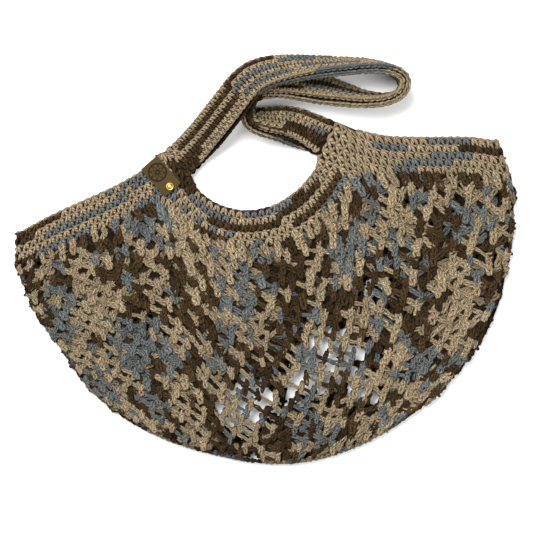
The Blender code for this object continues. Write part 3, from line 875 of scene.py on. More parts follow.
def add_relief(tree, shader, height, strength, distance):
    """Bump on a shader, from a height between 0 and about 1 and the distance in metres."""
    bump = tree.nodes.new("ShaderNodeBump")
    bump.inputs["Strength"].default_value = strength
    bump.inputs["Distance"].default_value = distance
    tree.links.new(height, bump.inputs["Height"])
    tree.links.new(bump.outputs["Normal"], shader.inputs["Normal"])


def plied_yarn_group():
    """Grooves between the plies, as relief and as the mask of the painted shade in them, and the soft
    fibres over them.
    """
    if "Plied yarn" in bpy.data.node_groups:
        return bpy.data.node_groups["Plied yarn"]
    group, start, end = node_group(
        "Plied yarn",
        [
            ("UV", "NodeSocketVector", (0, 0, 0)),
            ("Position", "NodeSocketVector", (0, 0, 0)),
            ("Plies", "NodeSocketFloat", 3.0),
            ("Twist", "NodeSocketFloat", 3.4),
        ],
        [("Height", "NodeSocketFloat"), ("Groove", "NodeSocketFloat"), ("Fibre", "NodeSocketFloat")],
    )
    split = group.nodes.new("ShaderNodeSeparateXYZ")
    group.links.new(start.outputs["UV"], split.inputs[0])
    around = math_node(group, "MULTIPLY", split.outputs["Y"], start.outputs["Plies"])
    along = math_node(group, "MULTIPLY", split.outputs["X"], start.outputs["Twist"])
    turns = math_node(group, "ADD", around, along)
    wave = math_node(group, "COSINE", math_node(group, "MULTIPLY", turns, 2 * math.pi))
    ply = math_node(group, "MULTIPLY_ADD", wave, 0.5, 0.5)
    fibre = noise(group, start.outputs["Position"], 2600.0, 4.0, 0.7)
    rounded = math_node(group, "POWER", ply, 0.6)
    height = math_node(group, "ADD", rounded, math_node(group, "MULTIPLY", fibre, 0.6))
    groove = math_node(group, "POWER", math_node(group, "SUBTRACT", 1.0, ply), 2.0)
    group.links.new(height, end.inputs["Height"])
    group.links.new(groove, end.inputs["Groove"])
    group.links.new(fibre, end.inputs["Fibre"])
    return group


def new_material(name):
    material = bpy.data.materials.new(name)
    material.use_nodes = True
    return material, material.node_tree, material.node_tree.nodes["Principled BSDF"]


def cotton_material(name):
    """Plied cotton whose colour is each stitch's own with its painted shade, darker between its plies
    with painted shade, paler in patches and on stray fibres, and unevenly fuzzy."""
    # Painted shade in the grooves between the plies: its strength and its tint
    groove_shade_strength, groove_shade_tint = 0.85, (0.30, 0.26, 0.22, 1)
    patch_lift, patch_tint = 0.22, (1.5, 1.45, 1.4, 1)
    fuzz_contrast, fuzz_middle, fuzz_floor = 2.6, 0.97, 0.35
    fleck_from, fleck_share, fleck_tint = 0.66, 0.4, (1.9, 1.8, 1.7, 1)
    material, tree, shader = new_material(name)
    position = object_position(tree)
    tint = attribute(tree, "Tint", "Color")
    uv = tree.nodes.new("ShaderNodeUVMap")
    uv.uv_map = "Yarn"
    yarn = tree.nodes.new("ShaderNodeGroup")
    yarn.node_tree = plied_yarn_group()
    yarn.inputs["Plies"].default_value = 3.0
    yarn.inputs["Twist"].default_value = 3.4
    tree.links.new(uv.outputs["UV"], yarn.inputs["UV"])
    tree.links.new(position, yarn.inputs["Position"])
    # Painted shade in the grooves between the plies
    groove = math_node(tree, "MULTIPLY", yarn.outputs["Groove"], groove_shade_strength)
    groove_shaded = mix_colour(tree, "MULTIPLY", groove, tint, groove_shade_tint)
    patch = noise(tree, position, 160.0, 2.0)
    lift = math_node(tree, "MULTIPLY", patch, patch_lift)
    lifted = mix_colour(tree, "MULTIPLY", 1.0, groove_shaded, patch_tint)
    patchy = mix_colour(tree, "MIX", lift, groove_shaded, lifted)
    fuzz = math_node(tree, "SUBTRACT", noise(tree, position, 1050.0, 3.0, 0.7), 0.5)
    uneven = math_node(tree, "MULTIPLY_ADD", fuzz, fuzz_contrast, fuzz_middle)
    fuzzy = tree.nodes.new("ShaderNodeVectorMath")
    fuzzy.operation = "SCALE"
    tree.links.new(patchy, fuzzy.inputs[0])
    tree.links.new(math_node(tree, "MAXIMUM", uneven, fuzz_floor), fuzzy.inputs["Scale"])
    dyed = fuzzy.outputs["Vector"]
    flecks = math_node(tree, "GREATER_THAN", yarn.outputs["Fibre"], fleck_from)
    fleck = math_node(tree, "MULTIPLY", flecks, fleck_share)
    colour = mix_colour(tree, "MIX", fleck, dyed, mix_colour(tree, "MULTIPLY", 1.0, dyed, fleck_tint))
    tree.links.new(colour, shader.inputs["Base Color"])
    tree.links.new(math_node(tree, "MULTIPLY_ADD", patch, 0.12, 0.82), shader.inputs["Roughness"])
    shader.inputs["Sheen Weight"].default_value = 0.01
    shader.inputs["Sheen Roughness"].default_value = 0.5
    shader.inputs["Specular IOR Level"].default_value = 0.03
    add_relief(tree, shader, yarn.outputs["Height"], 1.0, 0.4 * MM)
    return material


def shadowed_material(name):
    """The hidden middle of the crochet: a dark sheet coloured with painted shade."""
    material, tree, shader = new_material(name)
    weave = noise(tree, object_position(tree), 700.0, 3.0)
    darker, lighter = scaled(GROUND_PAINTED_SHADE, 0.6), scaled(GROUND_PAINTED_SHADE, 1.5)
    tree.links.new(mix_colour(tree, "MIX", weave, darker, lighter), shader.inputs["Base Color"])
    tree.links.new(math_node(tree, "MULTIPLY_ADD", weave, 0.1, 0.88), shader.inputs["Roughness"])
    shader.inputs["Specular IOR Level"].default_value = 0.02
    add_relief(tree, shader, weave, 0.6, 0.3 * MM)
    return material


def leather_material(settings):
    """Grained leather, burnt dark where it is stamped."""
    material, tree, shader = new_material("Tag leather")
    position = object_position(tree)
    cells = tree.nodes.new("ShaderNodeTexVoronoi")
    cells.feature = "DISTANCE_TO_EDGE"
    cells.inputs["Scale"].default_value = 1500.0
    tree.links.new(position, cells.inputs["Vector"])
    rise = math_node(tree, "MULTIPLY", cells.outputs["Distance"], 5.0)
    grain = math_node(tree, "MINIMUM", rise, 1.0)
    cloud = noise(tree, position, 110.0, 4.0, 0.6)
    darker, lighter = scaled(settings.leather, 0.72), scaled(settings.leather, 1.35)
    colour = mix_colour(tree, "MIX", cloud, darker, lighter)
    creases = math_node(tree, "MULTIPLY", math_node(tree, "SUBTRACT", 1.0, grain), 0.35)
    colour = mix_colour(tree, "MULTIPLY", creases, colour, (0.5, 0.45, 0.4, 1))
    burnt = math_node(tree, "MULTIPLY", attribute(tree, "Stamp", "Fac"), 0.95)
    colour = mix_colour(tree, "MULTIPLY", burnt, colour, (0.10, 0.085, 0.08, 1))
    tree.links.new(colour, shader.inputs["Base Color"])
    tree.links.new(math_node(tree, "MULTIPLY_ADD", cloud, 0.2, 0.6), shader.inputs["Roughness"])
    shader.inputs["Specular IOR Level"].default_value = 0.15
    height = math_node(tree, "ADD", grain, math_node(tree, "MULTIPLY", cloud, 1.2))
    add_relief(tree, shader, height, 0.35, 0.2 * MM)
    return material


def brass_material(settings):
    """Polished brass with faint smudges."""
    material, tree, shader = new_material("Rivet brass")
    smudge = noise(tree, object_position(tree), 420.0, 4.0, 0.6)
    duller, bright = scaled(settings.brass, 0.82), scaled(settings.brass, 1)
    tree.links.new(mix_colour(tree, "MIX", smudge, duller, bright), shader.inputs["Base Color"])
    shader.inputs["Metallic"].default_value = 1.0
    tree.links.new(math_node(tree, "MULTIPLY_ADD", smudge, 0.2, 0.3), shader.inputs["Roughness"])
    add_relief(tree, shader, smudge, 0.15, 0.1 * MM)
    return material


def paper_material(settings):
    """The pale, matt studio floor."""
    material, tree, shader = new_material("Studio floor")
    tooth = noise(tree, object_position(tree), 60.0, 3.0)
    darker, plain = scaled(settings.floor, 0.985), scaled(settings.floor, 1)
    tree.links.new(mix_colour(tree, "MIX", tooth, darker, plain), shader.inputs["Base Color"])
    shader.inputs["Roughness"].default_value = 0.9
    return material


# ---------------------------------------------------------------------------------------------
# Pieces


def new_object(name, mesh):
    piece = bpy.data.objects.new(name, mesh)
    bpy.context.scene.collection.objects.link(piece)
    return piece


def make_active(piece):
    bpy.ops.object.select_all(action="DESELECT")
    bpy.context.view_layer.objects.active = piece
    piece.select_set(True)


def give_thickness(sheet, thickness):
    """Makes a sheet solid, half of its thickness to each side."""
    wall = sheet.modifiers.new("Wall", "SOLIDIFY")
    wall.thickness = thickness
    wall.offset = 0
    bpy.ops.object.modifier_apply(modifier=wall.name)


def strip_cloth(name, lines, closed):
    """A thin cloth over lines that run side by side."""
    count = lines.shape[1] - (1 if closed else 0)
    verts = rounded_corner(lines[:, :count].reshape(-1, 3).copy())
    faces = []
    for j in range(len(lines) - 1):
        near, far = j * count, (j + 1) * count
        for i in range(count if closed else count - 1):
            k = (i + 1) % count
            faces.append((near + i, near + k, far + k, far + i))
    mesh = bpy.data.meshes.new(name)
    mesh.from_pydata(verts, [], faces)
    mesh.shade_smooth()
    cloth = new_object(name, mesh)
    make_active(cloth)
    give_thickness(cloth, GROUND_THICKNESS)
    return cloth


def finish_piece(piece, material, slot, *nodes):
    piece.data.materials.clear()
    piece.data.materials.append(material)
    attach(piece, "root")
    if nodes:
        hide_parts(*nodes)


def shared(name, make):
    """A material made once and used by several pieces."""
    return bpy.data.materials.get(name) or make(name)


def build_rim(settings):
    """Rounds of single crochet on both layers, and a chain on the mouth's edge."""
    rng = np.random.default_rng(11)
    colours = yarn_colours(settings)
    shape = single_crochet(settings.yarn_radius * 1000 * BAND_YARN)
    steps = 2 * RIM_ROWS + 1
    lines, full = rim_rings(np.linspace(0, RIM_FILL, steps)), rim_rings(np.linspace(0, 1, steps))
    at = ring_sections()
    from_straps = [
        np.maximum(low - at, 0) + np.maximum(at - high, 0) for low, high in (LEFT_STRAP, RIGHT_STRAP)
    ]
    under_strap = np.clip(1 - np.min(from_straps, axis=0) / 0.5, 0, 1)
    lines = lines + (full - lines) * under_strap[None, :, None]
    run = run_of(lines[RIM_ROWS])
    count = int(round(run[-1] / (STITCH_PITCH * MM)))
    pitch = run[-1] / count / MM
    stitches = Stitches(tucked=True)
    for row in range(RIM_ROWS):
        starts = np.arange(count) + 0.5 + RIM_SLANT * row + 0.5 * (row % 2)
        places = (starts / count * run[-1]) % run[-1]
        middle, x, y, z = band_frames(lines, row, run, places, pitch, True)
        frames = (middle, x * pitch / STITCH_PITCH, y, z)
        letters = []
        for i, (origin, out) in enumerate(zip(middle, z)):
            place = origin[0] / MM if out[2] > -0.2 * MM else -origin[0] / MM * 0.9
            letters.append(colour_of(RIM_RUNS[row], place, i + row))
        tints = tints_from(letters, colours, rng)
        stitches.add(shape, shaken(frames, rng, "rim"), tints, RIM_PAINTED_SHADE)
    chain = chain_link(settings.yarn_radius * 1000 * RIM_CHAIN_YARN)
    frames, places = edge_frames(lines[-1], lines[-2], STITCH_PITCH * 0.9, True)
    sections = np.interp(places, run_of(lines[-1]), ring_sections())
    free = [not any(low < at < high for low, high in (LEFT_STRAP, RIGHT_STRAP)) for at in sections]
    middle, x, y, z = (part[free] for part in frames)
    letters = [colour_of(RIM_EDGE_RUNS, point[0] / MM, i) for i, point in enumerate(middle)]
    frames = (middle - z * 0.4, x * RIM_LINK, y, z)
    links = shaken(frames, rng, "rim edge")
    stitches.add(chain, links, tints_from(letters, colours, rng), RIM_EDGE_PAINTED_SHADE)
    piece = stitches.build("rim_stitches")
    finish_piece(piece, cotton_material("Rim cotton"), "cotton_band", "rim_band")
    # A dark sheet under the stitches, coloured with painted shade
    cloth = strip_cloth("rim_ground", rim_rings(np.linspace(0.02, 0.94, 5)), True)
    finish_piece(cloth, shared("Shaded cotton", shadowed_material), "cotton_band")


def build_handle(settings, name, side, table, edge_runs, seed):
    """A strap of single crochet worked from both edges to its middle, with a chain on each edge."""
    rng = np.random.default_rng(seed)
    colours = yarn_colours(settings)
    shape = single_crochet(settings.yarn_radius * 1000 * BAND_YARN)
    lines = strap_rings(side, np.linspace(-STRAP_FILL, STRAP_FILL, 2 * HANDLE_ROWS + 1))
    if side < 0:
        lines = lines[::-1]
    run = run_of(lines[HANDLE_ROWS])
    stations = np.linspace(0, len(ROUTE) - 1, len(run))
    count = int(round(run[-1] / (HANDLE_PITCH * MM)))
    stitches = Stitches()
    for row in range(HANDLE_ROWS):
        places = (np.arange(count) + 0.25 + 0.5 * (row % 2)) / count * run[-1]
        origin, x, y, z = band_frames(lines, row, run, places, HANDLE_PITCH, False)
        x = x * HANDLE_PITCH / STITCH_PITCH
        table_row = row if side > 0 else HANDLE_ROWS - 1 - row
        if (table_row < HANDLE_ROWS // 2) == (side > 0):
            x, y = -x, -y
        route = np.interp(places, run, stations)
        shown = (route > STRAP_STITCHES[0]) & (route < STRAP_STITCHES[1])
        letters = [colour_of(table[table_row], p, i) for i, p in enumerate(route) if shown[i]]
        frames = shaken([part[shown] for part in (origin, x, y, z * 0.9)], rng, "handle")
        stitches.add(shape, frames, tints_from(letters, colours, rng), HANDLE_PAINTED_SHADE)
    chain = chain_link(settings.yarn_radius * 1000 * HANDLE_CHAIN_YARN)
    for edge, inner in ((lines[0], lines[1]), (lines[-1], lines[-2])):
        frames, places = edge_frames(edge, inner, EDGE_PITCH, False)
        route = np.interp(places, run_of(edge), stations)
        shown = (route > EDGE_CHAIN[0]) & (route < EDGE_CHAIN[1])
        middle, x, y, z = (part[shown] for part in frames)
        letters = [colour_of(edge_runs, p, i) for i, p in enumerate(route[shown])]
        frames = (middle - z * 0.7, x * EDGE_PITCH / LINK_PITCH, y, z)
        links = shaken(frames, rng, "handle edge")
        stitches.add(chain, links, tints_from(letters, colours, rng), HANDLE_EDGE_PAINTED_SHADE)
    piece = stitches.build(name + "_stitches")
    finish_piece(piece, shared("Handle cotton", cotton_material), "cotton_band", name)
    # A dark sheet under the stitches, coloured with painted shade
    cloth = strip_cloth(name + "_ground", strap_rings(side, np.linspace(-0.86, 0.86, 5)), False)
    finish_piece(cloth, shared("Shaded cotton", shadowed_material), "cotton_band")


def nearness(x, y, spot):
    """How near places in millimetres are to a spot: 1 at its middle, falling off at its radius."""
    spot_x, spot_y, radius = spot
    return np.exp(-((x - spot_x) ** 2 + (y - spot_y) ** 2) / radius**2)


def pick_colour(point, before, rng, pooled):
    """The next colour of the yarn at a place, drawn to the pools that lie there."""
    weights = dict(COLOUR_WEIGHTS)
    if pooled:
        for letter, spots in POOLS.items():
            for spot in spots:
                weights[letter] += POOL_PULL * nearness(point[0] / MM, point[1] / MM, spot)
    weights[before] *= REPEAT_SHARE
    draw = rng.random() * sum(weights.values())
    for letter, weight in weights.items():
        draw -= weight
        if draw <= 0:
            return letter
    return "t"


def yarn_order(ring, rng):
    """Where each colour run of a round ends, as shares of the round, and its colour."""
    run = run_of(ring)
    ends, letters = [], []
    place, letter = 0.0, "t"
    while place < run[-1]:
        length = (SHORTEST_RUN + RUN_SPREAD * rng.random()) * NET_CELL * MM
        middle = look_up(ring, run, [min(place + length / 2, run[-1])])[0]
        letter = pick_colour(middle, letter, rng, middle[2] > BACK_Z + FOLD_RADIUS)
        place += length * RUN_SHARE[letter]
        ends.append(place / run[-1])
        letters.append(letter)
    return np.array(ends), letters


def letters_at(order, shares):
    ends, letters = order
    return [letters[min(i, len(letters) - 1)] for i in np.searchsorted(ends, shares)]


def openness(points):
    """How far the net is stretched open, 0 to 1."""
    x, y = points[:, 0] / MM, points[:, 1] / MM
    return np.clip(1.7 * sum(nearness(x, y, spot) for spot in OPEN_PLACES), 0, 1)


def wander(points):
    """Slow drifts of the handwork in plan, up to about 2 mm, that die away near the silhouette."""
    x, y = points[:, 0] / MM, points[:, 1] / MM
    dx = np.sin(x / 13.0 + 1.3 * np.sin(y / 17.0)) * 0.9 + np.sin(y / 9.0 + x / 31.0) * 0.8
    dy = np.sin(x / 11.0 + y / 23.0) * 1.1 + np.sin(x / 6.1 - y / 19.0 + 2.0) * 0.7
    inside = np.clip((points[:, 2] - (BACK_Z + FOLD_RADIUS)) / FOLD_RADIUS, -1, 1) ** 8
    return np.column_stack([dx * inside, dy * inside, np.zeros(len(points))]) * MM


class Lattice:
    """The rounds of the net, and the points between them by level and share of the round."""

    def __init__(self):
        self.plan, rings = net_rings()
        fades = [0.0 if k == 0 else 1 - (k / NET_ROUNDS) ** 8 for k in range(len(rings))]
        self.rings = [ring + wander(ring) * fade for ring, fade in zip(rings, fades)]
        self.runs = [run_of(ring) for ring in self.rings]

    def at(self, level, shares):
        level = np.broadcast_to(np.clip(level, 0, NET_ROUNDS), len(shares))
        low = np.minimum(level.astype(int), NET_ROUNDS - 1)
        found = np.empty((len(shares), 3))
        for k in np.unique(low):
            here = low == k
            upper, lower = (
                look_up(self.rings[j], self.runs[j], (shares[here] % 1) * self.runs[j][-1])
                for j in (k, k + 1)
            )
            t = (level[here] - k)[:, None]
            found[here] = upper + (lower - upper) * t
        return found

    def outward(self, level, shares):
        """Away from the inside of the pouch: up on the front, down on the back, out at the folds."""
        points = self.at(level, shares)
        depth = np.clip((points[:, 2] - BACK_Z - FOLD_RADIUS) / FOLD_RADIUS, -1, 1)
        sideways = np.sign(points[:, 0]) * np.sqrt(np.maximum(1 - depth**2, 0))
        return np.column_stack([sideways, np.zeros(len(points)), depth])


def frames_between(low, high, length, normals, width):
    """Frames for shapes of a given length laid from low to high, their z along the normals."""
    y = (high - low) / length
    z = square_to(normals, unit(y)) * MM
    x = np.cross(unit(y), unit(z)) * MM * width
    return (low + high) / 2, x, y, z


def net_sites(lattice, rng):
    """Shares of each round where its stems stand, between those of the round above."""
    rounds = []
    for k in range(NET_ROUNDS):
        run = lattice.runs[k][-1]
        cells = int(round(run / (NET_CELL * MM) * (1.6 if k == 0 else 1)))
        shares = (np.arange(cells) + 0.5 * (k % 2)) / cells
        shares = shares + (rng.random(cells) - 0.5) * 0.26 / cells
        rounds.append(np.sort(shares % 1))
    return rounds


def beside(above, shares):
    """The nearest stems of the round above, to the left and to the right of each share."""
    ring = np.concatenate([above - 1, above, above + 1])
    right = np.searchsorted(ring, shares)
    return ring[right - 1], ring[right]


class NetStitches:
    """Stitches of one kind in the net, sorted into its front and its back."""

    def __init__(self):
        self.sides = {side: Stitches(NET_STRAY) for side in NET_PAINTED_SHADE}

    def add(self, shape, frames, tints):
        """Adds stitches, slimmer and wider on the back than on the front, each side with its own
        painted shade.
        """
        front = frames[3][:, 2] > -0.15 * MM
        for side, chosen in (("front", front), ("back", ~front)):
            if not chosen.any():
                continue
            origin, x, y, z = (part[chosen] for part in frames)
            if side == "front":
                facing_up = z[:, 2:] / MM
                wide, slim = 1.25 - 0.25 * facing_up, np.clip(facing_up + 0.2, 0.6, 1)
            else:
                wide, slim = 1.3 - 0.4 * openness(origin)[:, None], 0.45
            frames_here = (origin, x * wide, y, z * slim)
            self.sides[side].add(shape, frames_here, tints[chosen], NET_PAINTED_SHADE[side])


def raised(normals, least, more, rng):
    """Lifts off the front layer, from least to least + more millimetres, and none elsewhere."""
    on_front = normals[:, 2:] > 0.3
    return normals * on_front * MM * (least + more * rng.random((len(normals), 1)))


def stem_ends(lattice, k, shares, rng):
    """Where the stems of a round start and end, and the way out of the pouch there. Levels are
    counted in rounds, and the feet's sway is a share of the round."""
    start, end, longest_hang, sway = 0.05, 0.95, 0.45, 0.006
    first_rise, last_reach = 0.1, 0.3
    top_lift, foot_lift = 0.6, 1.25
    count = len(shares)
    tops = lattice.at(k + start - first_rise * (k == 0), shares)
    levels = k + end + longest_hang * rng.random(count)
    feet = lattice.at(levels, shares + (rng.random(count) - 0.5) * sway)
    normals = lattice.outward(k + 0.5, shares)
    lift = raised(normals, 0.5, 1.5, rng)
    tops, feet = tops + lift * top_lift, feet + lift * foot_lift
    if k == NET_ROUNDS - 1:
        feet = feet + (feet - tops) * last_reach
    return tops, feet, normals


def lay_stems(stems, radius, ends, width, tints, rng):
    """Nested loops down each stem, and on most a strand or two laid slantwise over them. Both vary
    in lightness, and the lower loops are a little narrower."""
    taper, darkest_loop, darkest_wrap = 0.06, 0.84, 0.88
    loop, wrap = stem_loop(radius), wrap_strand(radius)
    tops, feet, normals = ends
    count = len(tops)
    for i in range(STEM_LOOPS):
        low, high = (tops + (feet - tops) * (j / STEM_LOOPS) for j in (i + 1, i))
        frames = frames_between(low, high, LOOP_LENGTH, normals, width * (1 - taper * i))
        loops = shaken(frames, rng, "stem")
        stems.add(loop, loops, tints * (darkest_loop + 0.26 * rng.random((count, 1))))
    middle, x, y, z = frames_between(feet, tops, LOOP_LENGTH, normals, width)
    for share, chance in WRAPS:
        shown = (rng.random(count) < chance) & (np.abs(normals[:, 2]) > 0.7)
        frames = (middle + (tops - feet) * share, x, unit(y) * MM, z)
        wraps = shaken([part[shown] for part in frames], rng, "wrap")
        stems.add(wrap, wraps, tints[shown] * (darkest_wrap + 0.2 * rng.random((shown.sum(), 1))))


def arm_ends(lattice, k, shares, away, rng):
    """Where the arms of a round start on their stems and end on the stems beside, half a round
    higher or more, and the way out there. The places are shares of the way to the stem beside."""
    start, end, longest_drop = 0.55, -0.45, 0.35
    start_place, middle_place, end_place = 0.1, 0.45, 0.84
    starts = lattice.at(k + start, shares + away * start_place)
    levels = k + end + longest_drop * rng.random(len(shares))
    ends = lattice.at(levels, shares + away * end_place)
    normals = lattice.outward(k + 0.1, shares + away * middle_place)
    lift = raised(normals, 0.2, 0.9, rng)
    return starts + lift, ends + lift * 0.5, normals


def build_net(settings):
    """The pouch: stems and arms round by round, the yarn between them, its fold and its ground."""
    rng = np.random.default_rng(29)
    colours = yarn_colours(settings)
    radius = settings.yarn_radius * 1000
    usual_length, closing, stem_size, arm_size = 9.0, 0.14, 1.04, 0.95
    lattice = Lattice()
    rounds = net_sites(lattice, rng)
    stems, arms, strands = NetStitches(), NetStitches(), []
    for k, sites in enumerate(rounds):
        order = yarn_order(lattice.rings[k], rng)
        spots = lattice.at(k + 0.5, sites)
        stretched = openness(spots)
        kept = (spots[:, 2] > BACK_Z + FOLD_RADIUS) | (rng.random(len(sites)) > stretched)
        shares, stretched = sites[kept], stretched[kept]
        count, cell = len(shares), 1 / len(sites)
        tints = tints_from(letters_at(order, shares), colours, rng)
        tops, feet, normals = stem_ends(lattice, k, shares, rng)
        length = np.linalg.norm(feet - tops, axis=1) / MM
        fullness = np.clip(length / usual_length, 0.85, 1.4) * (1 - closing * stretched)
        width = (stem_size * fullness * (1 + 0.1 * rng.standard_normal(count)))[:, None]
        lay_stems(stems, radius, (tops, feet, normals), width, tints, rng)
        strands += [(k, top, foot, STEM_WIDTH) for top, foot in zip(tops, feet)]
        if k == 0:
            continue
        for neighbours in beside(rounds[k - 1], shares):
            away = np.clip(neighbours - shares, -cell, cell)
            starts, ends, normals = arm_ends(lattice, k, shares, away, rng)
            short = np.linalg.norm(ends - starts, axis=1) < LONGEST_ARM
            shown = short & (np.abs(away) > 0.1 * cell) & (rng.random(count) > 0.25 * stretched)
            letters = letters_at(order, (shares + away * 0.3) % 1)
            width = (arm_size * fullness * (1 + 0.12 * rng.standard_normal(count)))[:, None]
            tints = tints_from(letters, colours, rng)
            middles = (starts + ends) / 2
            for low, high in ((starts, middles), (middles, ends)):
                frames = frames_between(low, high, LOOP_LENGTH, normals, width)
                loops = shaken([part[shown] for part in frames], rng, "arm")
                arms.add(arm_loop(radius), loops, tints[shown])
            shown_ends = zip(starts[shown], ends[shown])
            strands += [(k, start, end, ARM_WIDTH) for start, end in shown_ends]
    under = build_under_layer(lattice, rounds, radius, colours)
    add_bottom_fold(lattice.plan.bottom, radius, arms, stems, colours, rng)
    cotton = cotton_material("Net cotton")
    pieces = []
    for side in NET_PAINTED_SHADE:
        for kind, label in ((arms, "net_arms_"), (stems, "net_stems_")):
            pieces.append(kind.sides[side].build(label + side))
    pieces.append(under.build("net_tangle"))
    for piece in pieces:
        finish_piece(piece, cotton, "cotton_net", "net_body")
    build_net_ground(lattice, strands)


def build_under_layer(lattice, rounds, radius, colours):
    """Yarn that shows between the front's stems where the net lies slack and crowded, darkened with
    painted shade.
    """
    rng = np.random.default_rng(53)
    loop, reach = stem_loop(radius), arm_loop(radius)
    under = Stitches(NET_STRAY)
    for k, sites in enumerate(rounds):
        count = len(sites)
        shares = sites + (0.5 + 0.3 * (rng.random(count) - 0.5)) / count
        spots = lattice.at(k + 0.6, shares)
        slack = (spots[:, 2] > FRONT_Z - CLOTH / 2) & (rng.random(count) > 1.3 * openness(spots))
        shares = shares[slack]
        count = len(shares)
        letters = letters_at(yarn_order(lattice.rings[k], rng), shares % 1)
        # Painted shade: the under layer's colours are darkened, as it lies under the front's stems
        tints = tints_from(letters, colours, rng) * (0.62 + 0.3 * rng.random((count, 1)))
        normals = lattice.outward(k + 0.6, shares)
        levels = k + 0.15 + 0.3 * rng.random(count)
        tops = lattice.at(levels, shares + 0.004 * rng.standard_normal(count))
        levels = k + 1.0 + 0.4 * rng.random(count)
        feet = lattice.at(levels, shares + 0.006 * rng.standard_normal(count))
        middles = (tops + feet) / 2
        sunk = normals * MM * 0.5
        for low, high in ((middles, tops), (feet, middles)):
            frames = frames_between(low - sunk, high - sunk, LOOP_LENGTH, normals, 1.0)
            under.add(loop, shaken(frames, rng, "under layer"), tints, UNDER_PAINTED_SHADE)
        levels = k + 0.2 + rng.random(count)
        ends = lattice.at(levels, shares + rng.choice((-1, 1), count) * 0.35 / len(sites))
        frames = frames_between(middles - sunk, ends - sunk, LOOP_LENGTH, normals, 1.0)
        under.add(reach, shaken(frames, rng, "under arm"), tints, UNDER_PAINTED_SHADE)
    return under


def build_net_ground(lattice, strands):
    """The hidden middle of the net: a thin web under the yarn, coloured with painted shade, open
    where the net is open.
    """
    per_round, around = 3, 320
    web_reach, web_opening = 2.2, 3.8
    shares = np.arange(around) / around
    levels = np.linspace(0, NET_ROUNDS, NET_ROUNDS * per_round + 1)
    verts = np.array([lattice.at(level, shares) for level in levels])
    strand_levels, starts, ends, widths = (np.array(part) for part in zip(*strands))
    spans = ends - starts
    following = np.roll(np.arange(around), -1)
    faces, area = [], 0.0
    for j in range(len(levels) - 1):
        quads = np.stack([verts[j], verts[j][following], verts[j + 1][following], verts[j + 1]])
        middles = quads.mean(axis=0)
        near = np.abs(strand_levels - j // per_round) <= 1
        start, span = starts[near], spans[near]
        offset = middles[:, None] - start[None]
        along = np.einsum("ijk,jk->ij", offset, span) / np.sum(span * span, axis=1)
        nearest = np.clip(along, 0, 1)[..., None] * span[None]
        gap = np.linalg.norm(offset - nearest, axis=2) - widths[near][None] * MM
        allowed = (web_reach - web_opening * openness(middles)) * MM
        covered = (gap.min(axis=1) < allowed) | (j == 0)
        across = np.cross(quads[2] - quads[0], quads[3] - quads[1])
        area += float(np.linalg.norm(across, axis=1)[covered].sum()) / 2
        row, next_row = j * around, (j + 1) * around
        for i in np.flatnonzero(covered):
            k = (i + 1) % around
            faces.append((row + i, row + k, next_row + k, next_row + i))
    mesh = bpy.data.meshes.new("net_ground")
    mesh.from_pydata(verts.reshape(-1, 3), [], faces)
    web = new_object("net_ground", mesh)
    make_active(web)
    bpy.ops.object.mode_set(mode="EDIT")
    bpy.ops.mesh.select_all(action="SELECT")
    bpy.ops.mesh.delete_loose()
    bpy.ops.object.mode_set(mode="OBJECT")
    give_thickness(web, WEB_THICKNESS)
    web.data.shade_smooth()
    finish_piece(web, shared("Shaded cotton", shadowed_material), "cotton_net")
    middle_line = np.array([lattice.at(v, np.array([0.25]))[0] for v in levels])


def add_bottom_fold(line, radius, arms, stems, colours, rng):
    """The stitches that turn under along the pouch's bottom edge."""
    run = run_of(line)
    along = unit(np.gradient(line, axis=0))
    outward = np.column_stack([along[:, 1], -along[:, 0]])
    count = int(run[-1] / (LINK_PITCH * MM))
    places = (np.arange(count) + 0.5) / count * run[-1]
    ends, letters, place, letter = [], [], 0.0, "t"
    while place < run[-1]:
        spot = look_up(line, run, [place])[0]
        letter = pick_colour(spot, letter, rng, True)
        place += (0.7 + rng.random()) * NET_CELL * MM
        ends.append(place)
        letters.append(letter)
    tints = tints_from(letters_at((ends, letters), places), colours, rng)
    level, up = np.zeros((count, 1)), np.array((0, 0, MM))
    tangent = np.hstack([unit(look_up(along, run, places)), level]) * MM
    z = np.hstack([unit(look_up(outward, run, places)), level]) * MM
    middle = np.hstack([look_up(line, run, places), level + BACK_Z + FOLD_RADIUS])
    y = np.cross(unit(z), unit(tangent)) * MM
    frames = (middle + z * (FOLD_RADIUS / MM - 0.3), tangent, y, z)
    arms.sides["front"].add(chain_link(radius), shaken(frames, rng, "fold"), tints, FOLD_PAINTED_SHADE)
    y = up * 0.95 + tangent * 0.25
    x = np.cross(unit(y), unit(z)) * MM
    frames = (middle + z * (FOLD_RADIUS / MM - 0.9), x, y, z)
    posts = shaken(frames, rng, "fold stem")
    stems.sides["front"].add(stem_loop(radius), posts, tints, FOLD_PAINTED_SHADE)


def stamped(across, side):
    """How deep a point of the tag lies in the stamped rosette of two rings and eight petals."""
    x, y = across - MOTIF_PLACE, side
    radius, angle = math.hypot(x, y), math.atan2(y, x)
    petals = MOTIF_RADIUS * (0.60 + 0.20 * math.cos(8 * angle))
    lines = [abs(radius - MOTIF_RADIUS), abs(radius - 0.22 * MOTIF_RADIUS), abs(radius - petals)]
    return min(1.0, 1.6 * max(0.0, 1 - min(lines) / (0.95 * MM)) ** 0.5)


def tag_profile():
    """The tag's middle line from one end to the other: the way in, and the height over the cloth."""
    half = CLOTH / 2 + TAG_CLEARANCE + TAG_THICKNESS / 2 + 0.3 * MM
    turn = -(TAG_CLEARANCE + TAG_THICKNESS / 2)
    upper = [(TAG_LENGTH * share, half) for share in np.linspace(1, 0.03, 61)]
    for angle in np.linspace(0, math.pi / 2, 7):
        across = turn + TAG_BEND_RADIUS * (1 - math.sin(angle))
        upper.append((across, half - TAG_BEND_RADIUS * (1 - math.cos(angle))))
    return upper + [(across, -height) for across, height in reversed(upper)]


